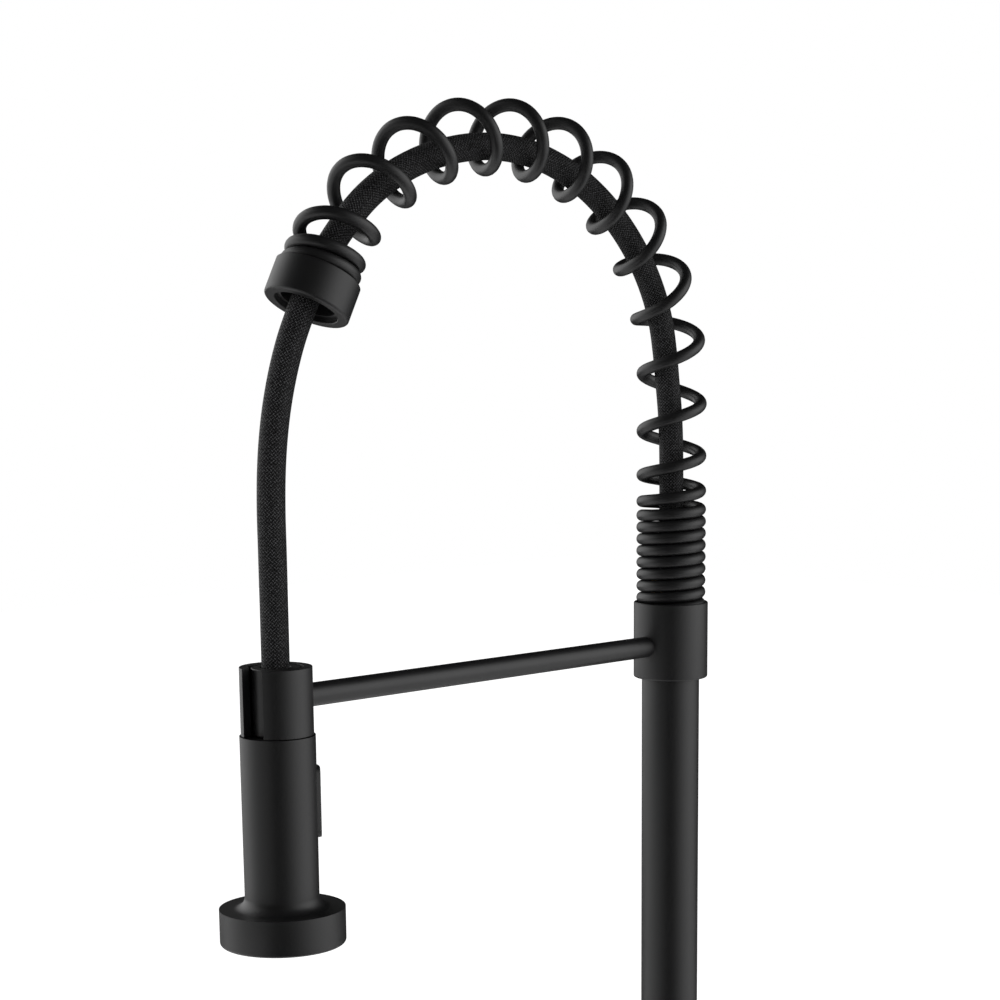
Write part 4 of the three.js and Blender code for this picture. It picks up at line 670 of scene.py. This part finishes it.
body_shape = carved(
    column, [at_cartridge(boss)],
    [at_cartridge(bar(CARTRIDGE_BORE, 8, 46, 96)), bar(SHANK_HOLE, 0, SHANK_TOP + 0.3, 96),
     bar(SPIGOT_BORE, 104, 145, 96), moved(bar(LOCK_HOLE, -30, 0), (0, 0, LOCK_HEIGHT), 90),
     *[moved(bar(INLET_RADIUS, 20, 70), (0, side * INLET_PLACE, 0)) for side in (-1, 1)]])
finished("valve_body_cast", body_shape, powder_coat, "base", ["valve_body"])
dress(blasted_steel, "swivel_lock_screw")

# ------------ cartridge
# A 35 mm ceramic-disc cartridge lying in the boss: moulded acetal base and shell, two lapped
# discs, a grey slider and stem carrier on a steel pin, and a brass nut that clamps it.

# Acetal, injection moulded in natural white: milky, half gloss, with very faint flow marks.
white_acetal, tree, shader = new_finish("moulded white acetal")
flow = noise(tree, 90.0, 2.0)
feed(tree, shader, {"Base Color": between(tree, flow, "#dedbd3", "#ebe9e2"),
                    "Normal": embossed(tree, flow, 0.1, 0.05), "Roughness": 0.38, "IOR": 1.48,
                    "Subsurface Weight": 0.15, "Subsurface Scale": mm(1.5)})
dress(white_acetal, "cartridge_base", "cartridge_shell", "water_core")

# Glass-filled acetal, moulded grey: a touch rougher, speckled where fibres reach the skin.
grey_acetal, tree, shader = new_finish("glass-filled grey acetal")
fibres = noise(tree, 900.0, 2.0)
feed(tree, shader, {"Base Color": between(tree, fibres, "#626567", "#7c7f81"),
                    "Normal": embossed(tree, fibres, 0.15, 0.03), "Roughness": 0.5, "IOR": 1.5})
dress(grey_acetal, "disc_slider", "stem_carrier", "check_valve")

# Alumina, pressed, fired and lapped flat: warm white, nearly polished, with fine crystals.
lapped_alumina, tree, shader = new_finish("lapped alumina ceramic")
place = add_node(tree, "ShaderNodeTexCoord").outputs["Object"]
crystals = add_node(tree, "ShaderNodeTexVoronoi", {"Vector": place, "Scale": 1600.0}).outputs[0]
feed(tree, shader, {"Base Color": between(tree, crystals, "#f4f1ea", "#e8e4da"),
                    "Roughness": ranged(tree, crystals, 0.14, 0.24), "IOR": 1.77})
dress(lapped_alumina, "fixed_disc", "moving_disc")
dress(blasted_steel, "stem_pin", "lever_stem", "hub_screw")
dress(turned_brass, "cartridge_nut")

# ------------ bonnet
# A pressed brass dome, coated black, centred on the lever's pivot so that the handle's hub
# can rock over it. It hides the cartridge nut.
PIVOT_OUT = 34.0
BONNET_RADIUS = 21.3
BONNET_WALL = 1.5
BONNET_MOUTH = 8.5


def dome(radius, centre, start, end, steps):
    """Points on a sphere's outline about the height centre, degrees from its top."""
    return [(radius * sin(radians(start + (end - start) * i / steps)),
             centre + radius * cos(radians(start + (end - start) * i / steps)))
            for i in range(steps + 1)]


rise = BOSS_END + 0.3 - PIVOT_OUT
outer, inner = BONNET_RADIUS, BONNET_RADIUS - BONNET_WALL
bonnet = turned([
    *dome(outer, PIVOT_OUT, degrees(acos(rise / outer)), degrees(asin(BONNET_MOUTH / outer)), 20),
    *dome(inner, PIVOT_OUT, degrees(asin(BONNET_MOUTH / inner)), degrees(acos(rise / inner)), 20),
], 96)
finished("bonnet_pressed", at_cartridge(bonnet), powder_coat, "base", ["bonnet"],
         0.25)

# ------------ handle hub
# Turned brass, coated black: a round-ended cap over the bonnet, clamped on the lever stem by
# a grub screw from below. A small plug hides the screw.
HUB_RADIUS = 18.5
HUB_CENTRE = 55.0
HUB_HOLLOW = 21.7
HUB_RIM = 49.6
HUB_SHOULDER = 52.5
PLUG_OUT = 59.0
PLUG_RADIUS = 2.5
PLUG_CLEARANCE = 0.15
hub = turned([
    (0, PIVOT_OUT + HUB_HOLLOW), *dome(HUB_HOLLOW, PIVOT_OUT, 5, 44, 12),
    (HUB_RADIUS - 0.5, HUB_RIM), (HUB_RADIUS, HUB_RIM + 0.5), (HUB_RADIUS, HUB_SHOULDER),
    *dome(HUB_RADIUS, HUB_CENTRE, 90, 6, 18), (0, HUB_CENTRE + HUB_RADIUS)])
plug_hole = moved(bar(PLUG_RADIUS + PLUG_CLEARANCE, -20, -8), (PLUG_OUT, 0, CARTRIDGE_HEIGHT))
finished("handle_hub_turned", carved(at_cartridge(hub), cuts=[plug_hole]), powder_coat, "lever",
         ["handle_hub"])

# ABS, moulded in black with a fine spark-eroded texture: a shade softer than the coat.
moulded_black, tree, shader = new_finish("moulded black ABS")
texture, mottle = noise(tree, 2600.0, 1.0), noise(tree, 120.0, 2.0)
feed(tree, shader, {"Base Color": between(tree, mottle, "#151516", "#19191a"),
                    "Normal": embossed(tree, texture, 0.15, 0.03), "Roughness": 0.48,
                    "IOR": 1.53})
plug = turned([(0, -14.9), (PLUG_RADIUS, -14.9), (PLUG_RADIUS, -17.5),
               (PLUG_RADIUS - 0.4, -17.9), (0, -18)], 32)
finished("hub_plug_moulded", moved(plug, (PLUG_OUT, 0, CARTRIDGE_HEIGHT)), moulded_black,
         "lever", ["hub_plug"])

# ------------ lever
# A 10 mm brass rod with a round end, coated black and pressed into the hub. It stands 60
# degrees from straight up, toward the handle's side.
LEVER_RADIUS = 5.0
LEVER_START = 12.0
LEVER_END = 135.0
lever = turned([
    (0, LEVER_START), (LEVER_RADIUS, LEVER_START),
    *arc(LEVER_RADIUS, 0, LEVER_END - LEVER_RADIUS, 0, 84, 10), (0, LEVER_END)], 64)
finished("lever_rod_coated", moved(lever, (HUB_CENTRE, 0, CARTRIDGE_HEIGHT), 60, "Y"),
         powder_coat, "lever", ["lever_rod"])

# ------------ swivel
# The spout's turned brass spigot, held in the valve body by a lock screw and two seals. Its
# flange shows, so it is coated, and it runs on a moulded slip ring.
SWIVEL_RADIUS = 14.0
SPIGOT_RADIUS = 11.0
SPIGOT_HOLLOW = 6.5
SEAL_SEAT = 9.0
slip_ring = tube(SPIGOT_RADIUS + 0.3, SWIVEL_RADIUS, 140.3, 141.9)
finished("slip_ring_moulded", slip_ring, moulded_black, "base", ["slip_ring"],
         0.25)
spigot = turned([
    (SPIGOT_HOLLOW, 107), (SPIGOT_RADIUS - 0.5, 107), (SPIGOT_RADIUS, 107.5),
    (SPIGOT_RADIUS, 111.5), (SEAL_SEAT, 111.5), (SEAL_SEAT, 114.5), (SPIGOT_RADIUS, 114.5),
    (SPIGOT_RADIUS, 118.5), (SEAL_SEAT, 118.5), (SEAL_SEAT, 121.5), (SPIGOT_RADIUS, 121.5),
    (SPIGOT_RADIUS, 123.7), (9.4, 123.7), (9.4, 130.3), (SPIGOT_RADIUS, 130.3),
    (SPIGOT_RADIUS, 142.2), (SWIVEL_RADIUS - 0.2, 142.2), (SWIVEL_RADIUS, 142.4),
    (SWIVEL_RADIUS, 145), (SWIVEL_RADIUS - 0.2, 145.2), (11.7, 145.2), (11.7, 157.5),
    (11.2, 158), (SPIGOT_HOLLOW, 158)])
spigot = finished("swivel_spigot_turned", spigot, turned_brass, "spout", ["swivel_spigot"])
spigot.data.materials.append(powder_coat)
for face in spigot.data.polygons:
    if hypot(face.center.x, face.center.y) > mm(SPIGOT_RADIUS + 1.2):
        face.material_index = 1

# ------------ riser
# Drawn brass tube, 28 mm by 2 mm, coated black. A turned adapter in its top takes the hose,
# whose crimped steel ferrule is pulled down on a washer by a brass nut.
RISER_RADIUS = 14.0
RISER_BORE = 12.0
RISER_FOOT = 145.5
RISER_TOP = ARM + 12.5
riser = tube(RISER_BORE, RISER_RADIUS, RISER_FOOT, RISER_TOP)
finished("riser_tube_coated", riser, powder_coat, "spout", ["riser_tube"], 0.25)
dress(turned_brass, "riser_adapter", "upper_hose_nut")
dress(blasted_steel, "upper_ferrule", "lower_ferrule")

# ------------ collar
# A turned brass sleeve over the riser's top, coated black. Its cup holds the spring's foot,
# and a small socket grub screw at the back fixes it.
CUP_RADIUS = 16.9
CUP_DEPTH = 7.9
COLLAR_RADIUS = 18.0
COLLAR_TOP = 20.7
COLLAR_FOOT = -16.1
COLLAR_BORE = 14.3
EDGE = 1.0  # radius of the collar's lower edge
GRUB_HEIGHT = -9.0
GRUB_RADIUS = 2.5
GRUB_CLEARANCE = 0.25
cup_floor = COLLAR_TOP - CUP_DEPTH
collar = turned([
    (COLLAR_BORE, COLLAR_FOOT), (COLLAR_RADIUS - EDGE, COLLAR_FOOT),
    *arc(EDGE, COLLAR_RADIUS - EDGE, COLLAR_FOOT + EDGE, -75, 0, 5),
    (COLLAR_RADIUS, COLLAR_TOP - 0.4), (COLLAR_RADIUS - 0.4, COLLAR_TOP),
    (CUP_RADIUS + 0.2, COLLAR_TOP), (CUP_RADIUS, COLLAR_TOP - 0.2), (CUP_RADIUS, cup_floor),
    (COLLAR_BORE, cup_floor)])
grub_hole = moved(bar(GRUB_RADIUS + GRUB_CLEARANCE, -20, -10, 32), (0, 0, GRUB_HEIGHT), 90)
collar = carved(collar, cuts=[grub_hole])
finished("collar_coated", moved(collar, (0, 0, ARM)), powder_coat, "spout", ["collar"])
grub = turned([
    (0, -14.4), (GRUB_RADIUS, -14.4), (GRUB_RADIUS, -17.2), (GRUB_RADIUS - 0.3, -17.5),
    (1.2, -17.5), (1.2, -17.2), (0, -17.2)], 30)
finished("collar_screw_machined", moved(grub, (0, 0, ARM + GRUB_HEIGHT), 90), blasted_steel,
         "spout", ["collar_screw"])

# ------------ arm
# A 10 mm steel rod, coated black, let into blind holes in the collar and the dock. It holds
# the dock out over the sink.
ROD_RADIUS = 5.0
ROD_START = -16.0
ROD_END = -229.0
arm = bar(ROD_RADIUS, ROD_END, ROD_START, 64)
finished("arm_rod_coated", moved(arm, (0, 0, ARM), -90), powder_coat, "spout", ["arm_rod"])

# ------------ dock
# A short coated sleeve with a slot beside its front, so that the hose can be slipped in. The
# spray head's neck rests in it.
DOCK_BORE = 11.2
DOCK_RADIUS = 15.0
DOCK_FOOT = -14.5
DOCK_TOP = 13.7
SLOT_HALF = 5.5
SLOT_TURN = 8.0  # degrees from straight ahead toward the handle's side
dock = tube(DOCK_BORE, DOCK_RADIUS, DOCK_FOOT, DOCK_TOP, 120)
for side in (-1, 1):
    bmesh.ops.bisect_plane(dock, geom=dock.verts[:] + dock.edges[:] + dock.faces[:], dist=1e-7,
                           plane_co=mm(side * SLOT_HALF, 0, 0), plane_no=(1, 0, 0))
slot_faces = [f for f in dock.faces
              if abs(f.calc_center_median().x) < mm(SLOT_HALF) and f.calc_center_median().y < 0]
bmesh.ops.delete(dock, geom=slot_faces, context="FACES")
bmesh.ops.holes_fill(dock, edges=[e for e in dock.edges if e.is_boundary], sides=0)
bmesh.ops.recalc_face_normals(dock, faces=dock.faces)
finished("dock_sleeve_coated", moved(dock, (0, -REACH, ARM), SLOT_TURN, "Z"), powder_coat, "spout",
         ["dock_sleeve"], 0.4)

# ------------ spring
# Hard-drawn steel wire coiled cold, then powder coated with the rest. The lowest turns lie
# closed in the collar's cup and the last ones in the ring's cup.
WIRE = 5.58
SPRING_RADIUS = 14.0
ARCH_STRAIGHT = 127.5
ARCH_BENDS = [(94, 36), (118, 104.8), (43, 12)]  # radius in mm, turn in degrees
CLOSED_PITCH = 5.66
OPEN_PITCH = 28.7
CLOSED_UNTIL = 8.31  # turns
OPEN_FROM = 12.26
CLOSING_FROM = 21.32
CLOSED_AGAIN = 22.62
SPRING_TURNS = 25.02
WIRE_SEAT = 2.9  # a cup's floor to the centre of the wire on it
SPRING_FOOT = cup_floor + WIRE_SEAT  # above the arm axis
FOOT_ANGLE = 141.0
TURN_STEPS = 64


def arch_at(distance):
    """Reach, height and heading of the spring's axis, so far along it from the arm axis."""
    if distance <= ARCH_STRAIGHT:
        return 0.0, distance, 0.0
    reach, height, heading, left = 0.0, ARCH_STRAIGHT, 0.0, distance - ARCH_STRAIGHT
    for radius, turn in ARCH_BENDS:
        bend = min(left / radius, radians(turn))
        reach += radius * (cos(heading) - cos(heading + bend))
        height += radius * (sin(heading + bend) - sin(heading))
        heading += bend
        left -= bend * radius
    return reach + left * sin(heading), height + left * cos(heading), heading


def eased(value, low, high):
    """0 below low, 1 above high and a smooth rise between."""
    share = min(1.0, max(0.0, (value - low) / (high - low)))
    return share * share * (3 - 2 * share)


def pitch_at(turns):
    """The spring's rise in a turn, so many turns up its wire."""
    opened = eased(turns, CLOSED_UNTIL, OPEN_FROM)
    closed = eased(turns, CLOSING_FROM, CLOSED_AGAIN)
    return CLOSED_PITCH + (OPEN_PITCH - CLOSED_PITCH) * opened * (1 - closed)


wire_route, along = [], SPRING_FOOT
for i in range(round(SPRING_TURNS * TURN_STEPS) + 1):
    wire_end = along
    reach, height, heading = arch_at(along)
    angle = radians(FOOT_ANGLE) + 2 * pi * i / TURN_STEPS
    out = Vector((cos(angle), sin(angle) * cos(heading), sin(angle) * sin(heading)))
    wire_route.append(mm(0, -reach, ARM + height) + out * mm(SPRING_RADIUS))
    along += pitch_at((i + 0.5) / TURN_STEPS) / TURN_STEPS
finished("spring_wire", swept("spring", wire_route, mm(WIRE / 2), 20), powder_coat,
         "spout", ["spring"])

# ------------ spring end ring
# A turned brass ring, coated black. Its cup holds the spring's last turns; a web inside
# stops the wire, and the hose hangs out through the open foot.
RING_RADIUS = 18.0
RING_FOOT = -7.6
RING_EDGE = 1.2  # radius of the ring's lower edge
WEB_BORE = 11.6
FOOT_BORE = 13.5
reach, height, heading = arch_at(wire_end + WIRE_SEAT)
ring = turned([
    (FOOT_BORE, RING_FOOT + 0.3), (FOOT_BORE + 0.3, RING_FOOT),
    (RING_RADIUS - RING_EDGE, RING_FOOT),
    *arc(RING_EDGE, RING_RADIUS - RING_EDGE, RING_FOOT + RING_EDGE, -75, 0, 5),
    (RING_RADIUS, CUP_DEPTH - 0.3), (RING_RADIUS - 0.3, CUP_DEPTH), (CUP_RADIUS + 0.2, CUP_DEPTH),
    (CUP_RADIUS, CUP_DEPTH - 0.2), (CUP_RADIUS, 0), (WEB_BORE, 0), (WEB_BORE, -5),
    (FOOT_BORE, -5)])
finished("spring_end_ring_coated",
         moved(ring, (0, -reach, ARM + height), 180 + degrees(heading)),
         powder_coat, "spout", ["spring_end_ring"])

# ------------ spray head neck
# The head's brass neck, coated black, which drops into the dock. The hose's lower ferrule
# turns inside it, and the hose comes out through its lip.
NECK_RADIUS = 10.2
NECK_TOP = 13.4
NECK_SHOULDER = -14.5
STUB_RADIUS = 8.0
STUB_FOOT = -24.0
WATERWAY = 4.5
LIP_BORE = 6.1
FERRULE_BORE = 7.4
FERRULE_FOOT = -11.0


def at_head(shape):
    """Carries a piece made about the origin out to the spray head's axis."""
    return moved(shape, (0, -REACH, ARM))


neck = turned([
    (WATERWAY, STUB_FOOT), (STUB_RADIUS, STUB_FOOT), (STUB_RADIUS, NECK_SHOULDER),
    (NECK_RADIUS, NECK_SHOULDER), (NECK_RADIUS, NECK_TOP), (LIP_BORE, NECK_TOP),
    (LIP_BORE, NECK_TOP - 2), (FERRULE_BORE, NECK_TOP - 2), (FERRULE_BORE, FERRULE_FOOT),
    (WATERWAY, FERRULE_FOOT)], 96)
finished("head_neck_coated", at_head(neck), powder_coat, "head", ["head_neck"],
         0.5)
dress(turned_brass, "neck_nut")
dress(blasted_steel, "inlet_screen", "toggle_pin", "diverter_plunger")

# ------------ spray head shell
# The grip: a deep-drawn and coated shell that flares into the spray skirt through a 5 mm
# fillet, with a window at the handle's side for the rocker button.
HEAD_TOP = -14.8
SKIRT_TOP = -87.7
SKIRT_FOOT = -103.2
SKIRT_RADIUS = 26.3
GRIP_RADIUS = 15.65
GRIP_FOOT_RADIUS = 15.5
GRIP_BORE = 13.1
GRIP_MOUTH = 8.3
FLARE = 5.0  # fillet between grip and skirt
SKIRT_EDGE = 1.6  # radius of the skirt's lower edge
SKIRT_BORE = 23.5
CEILING = -90.5  # of the skirt's hollow
BUTTON_AZIMUTH = 75.0
BUTTON_MIDDLE = -43.8
WINDOW_WIDTH = 15.8
WINDOW_HEIGHT = 31.6
WINDOW_CORNER = 4.0
WINDOW_SIDE = 8.5  # what is further out than this lies on the window's side
TOP_WALL = 2.7
fillet = [(GRIP_FOOT_RADIUS + FLARE * (1 - cos(radians(a))),
           SKIRT_TOP + FLARE * (1 - sin(radians(a)))) for a in range(0, 91, 10)]
shell = turned([
    (GRIP_MOUTH, HEAD_TOP), (GRIP_RADIUS, HEAD_TOP), *fillet, (SKIRT_RADIUS, SKIRT_TOP),
    *arc(SKIRT_EDGE, SKIRT_RADIUS - SKIRT_EDGE, SKIRT_FOOT + SKIRT_EDGE, 0, -90, 8),
    (SKIRT_BORE, SKIRT_FOOT), (SKIRT_BORE, CEILING), (GRIP_BORE, CEILING),
    (GRIP_BORE, HEAD_TOP - TOP_WALL), (GRIP_MOUTH, HEAD_TOP - TOP_WALL)], 128)


def cut_local(shape, wanted, point, normal):
    """Cuts the faces whose middle is wanted, along a plane given in mm."""
    near = [f for f in shape.faces if wanted(f.calc_center_median() * 1000)]
    geometry = dict.fromkeys(part for face in near for part in (face, *face.edges, *face.verts))
    bmesh.ops.bisect_plane(shape, geom=list(geometry), dist=1e-7,
                           plane_co=mm(*point), plane_no=normal)


def on_grip(p):
    """Whether a point, in mm, is on the grip round the window."""
    return p.x > WINDOW_SIDE and abs(p.y) < 12 and HEAD_TOP - 3 > p.z > -84


for y in (WINDOW_WIDTH / 2, WINDOW_WIDTH / 2 - WINDOW_CORNER):
    for side in (-1, 1):
        cut_local(shell, on_grip, (0, side * y, 0), (0, 1, 0))
for z in (WINDOW_HEIGHT / 2, WINDOW_HEIGHT / 2 - WINDOW_CORNER):
    for side in (-1, 1):
        cut_local(shell, on_grip, (0, 0, BUTTON_MIDDLE + side * z), (0, 0, 1))
for side in (-1, 1):
    for end in (-1, 1):
        middle = Vector((0, side * (WINDOW_WIDTH / 2 - WINDOW_CORNER),
                         BUTTON_MIDDLE + end * (WINDOW_HEIGHT / 2 - WINDOW_CORNER)))

        def in_corner(p, middle=middle, side=side, end=end):
            dy, dz = side * (p.y - middle.y), end * (p.z - middle.z)
            return p.x > WINDOW_SIDE and 0 < dy < WINDOW_CORNER and 0 < dz < WINDOW_CORNER

        for k in range(1, 6):
            tilt = radians(15 * k)
            normal = Vector((0, side * cos(tilt), end * sin(tilt)))
            cut_local(shell, in_corner, middle + normal * WINDOW_CORNER, normal)


def in_window(p):
    """Whether a point, in mm, is inside the window's round-cornered outline."""
    dy = max(0.0, abs(p.y) - (WINDOW_WIDTH / 2 - WINDOW_CORNER))
    dz = max(0.0, abs(p.z - BUTTON_MIDDLE) - (WINDOW_HEIGHT / 2 - WINDOW_CORNER))
    return p.x > WINDOW_SIDE and hypot(dy, dz) < WINDOW_CORNER


inside = [f for f in shell.faces if in_window(f.calc_center_median() * 1000)]
bmesh.ops.delete(shell, geom=inside, context="FACES")
bmesh.ops.bridge_loops(shell, edges=[e for e in shell.edges if e.is_boundary])
bmesh.ops.recalc_face_normals(shell, faces=shell.faces)
moved(shell, turn=BUTTON_AZIMUTH, about="Z")
finished("head_shell_coated", at_head(shell), powder_coat, "head", ["head_shell"],
         0.45)

# ------------ rocker button
# A moulded cap that rocks on a steel pin: its upper half gives the stream and its lower
# half the spray. It stands 1.5 mm proud of the grip, with rounded edges.
BUTTON_WIDTH = 15.0
BUTTON_HEIGHT = 30.4
BUTTON_CORNER = 4.0
BUTTON_CROWN = 17.15
BUTTON_INSIDE = 12.9
button = bmesh.new()
outline = []
for side, end, start in ((1, 1, 0), (-1, 1, 90), (-1, -1, 180), (1, -1, 270)):
    for k in range(7):
        angle = radians(start + 15 * k)
        outline.append(button.verts.new(mm(
            0, side * (BUTTON_WIDTH / 2 - BUTTON_CORNER) + BUTTON_CORNER * cos(angle),
            end * (BUTTON_HEIGHT / 2 - BUTTON_CORNER) + BUTTON_CORNER * sin(angle))))
button.faces.new(outline)
for k in range(-6, 7):
    bmesh.ops.bisect_plane(button, geom=button.verts[:] + button.edges[:] + button.faces[:],
                           dist=1e-7, plane_co=mm(0, k * BUTTON_WIDTH / 14, 0), plane_no=(0, 1, 0))
raised = bmesh.ops.extrude_face_region(button, geom=button.faces[:])["geom"]
top = [v for v in raised if isinstance(v, bmesh.types.BMVert)]
bmesh.ops.translate(button, verts=top, vec=(1, 0, 0))
for vertex in button.verts:
    across_button = vertex.co.y * 1000
    crown_x = sqrt(BUTTON_CROWN**2 - across_button**2)
    vertex.co.x = mm(crown_x if vertex.co.x > 0.5 else BUTTON_INSIDE)
bmesh.ops.recalc_face_normals(button, faces=button.faces)
moved(button, (0, 0, BUTTON_MIDDLE))
moved(button, turn=BUTTON_AZIMUTH, about="Z")
finished("toggle_button_moulded", at_head(button), moulded_black, "button", ["toggle_button"],
         0.9)

# ------------ spray face
# A coated ring holds a silicone mat with twenty rub-clean nozzles for the spray; the aerator
# in the middle makes the stream, through a woven steel screen.
FACE_FOOT = -102.9
FACE_RADIUS = 23.2
FACE_BORE = 19.6
MAT_SEAT = -101.2
HOUSING_RADIUS = 9.6
HOUSING_FOOT = -102.7
RIM_TOP = -94.1
MAT_BORE = 9.9
MAT_RADIUS = 20.5
MAT_FOOT = -100.9
SCREEN_TOP = -99.3
face_ring = turned([
    (FACE_BORE, FACE_FOOT), (FACE_RADIUS, FACE_FOOT), (FACE_RADIUS, RIM_TOP),
    (MAT_RADIUS + 0.3, RIM_TOP), (MAT_RADIUS + 0.3, MAT_SEAT), (FACE_BORE, MAT_SEAT)])
finished("face_ring_coated", at_head(face_ring), powder_coat, "head", ["face_ring"],
         0.3)

# Silicone, moulded in dark grey: soft sheen and very smooth, with a faint bloom.
moulded_silicone, tree, shader = new_finish("moulded dark silicone")
bloom = noise(tree, 300.0, 2.0)
feed(tree, shader, {"Base Color": between(tree, bloom, "#262728", "#303133"),
                    "Roughness": 0.55, "IOR": 1.41})
nozzles = []
for circle, count in ((12.6, 8), (16.6, 12)):
    for i in range(count):
        turn = 2 * pi * i / count + radians(BUTTON_AZIMUTH)
        nub = turned([(0.35, 0.3), (1.0, 0.3), (0.95, -1.5), (0.7, -1.95), (0.35, -2)], 14)
        nozzles.append(moved(nub, (circle * cos(turn), circle * sin(turn), MAT_FOOT)))
mat = tube(MAT_BORE, MAT_RADIUS, MAT_FOOT, MAT_FOOT + 3)
finished("nozzle_mat_moulded", at_head(joined(mat, *nozzles)), moulded_silicone, "head",
         ["nozzle_mat"])
housing = turned([
    (6.5, HOUSING_FOOT), (HOUSING_RADIUS, HOUSING_FOOT), (HOUSING_RADIUS, RIM_TOP),
    (7.5, RIM_TOP), (7.5, -100.6), (6.5, -100.6)], 96)
finished("aerator_housing_moulded", at_head(housing), grey_acetal, "head",
         ["aerator_housing"], 0.35)

# Stainless wire cloth: 0.4 mm wires woven square, drawn 0.9 mm apart so that the mesh shows.
WIRE_SPACING = 0.9
wire_cloth, tree, shader = new_finish("woven stainless wire cloth")
cloth = add_node(tree, "ShaderNodeSeparateXYZ",
                 {0: add_node(tree, "ShaderNodeTexCoord").outputs["Object"]}).outputs
waves = [reckon(tree, "SINE", reckon(tree, "MULTIPLY", cloth[axis], pi / mm(WIRE_SPACING)))
         for axis in "XY"]
wires = reckon(tree, "MINIMUM", *[reckon(tree, "ABSOLUTE", wave) for wave in waves])
# Painted shade: the openings between the wires are coloured near black for the dark hollow behind
# the screen.
shaded_openings = ranged(tree, wires, 0.0, 1.0, 0.55, 0.7)
feed(tree, shader, {"Base Color": between(tree, shaded_openings, "#c2c4c5", "#0c0c0c"),
                    "Normal": embossed(tree, reckon(tree, "SUBTRACT", 1.0, wires), 0.8, 0.2),
                    "Metallic": 1.0, "Roughness": 0.4})
finished("aerator_screen_woven", at_head(bar(7.2, SCREEN_TOP - 1, SCREEN_TOP, 64)), wire_cloth,
         "head", ["aerator_screen"])
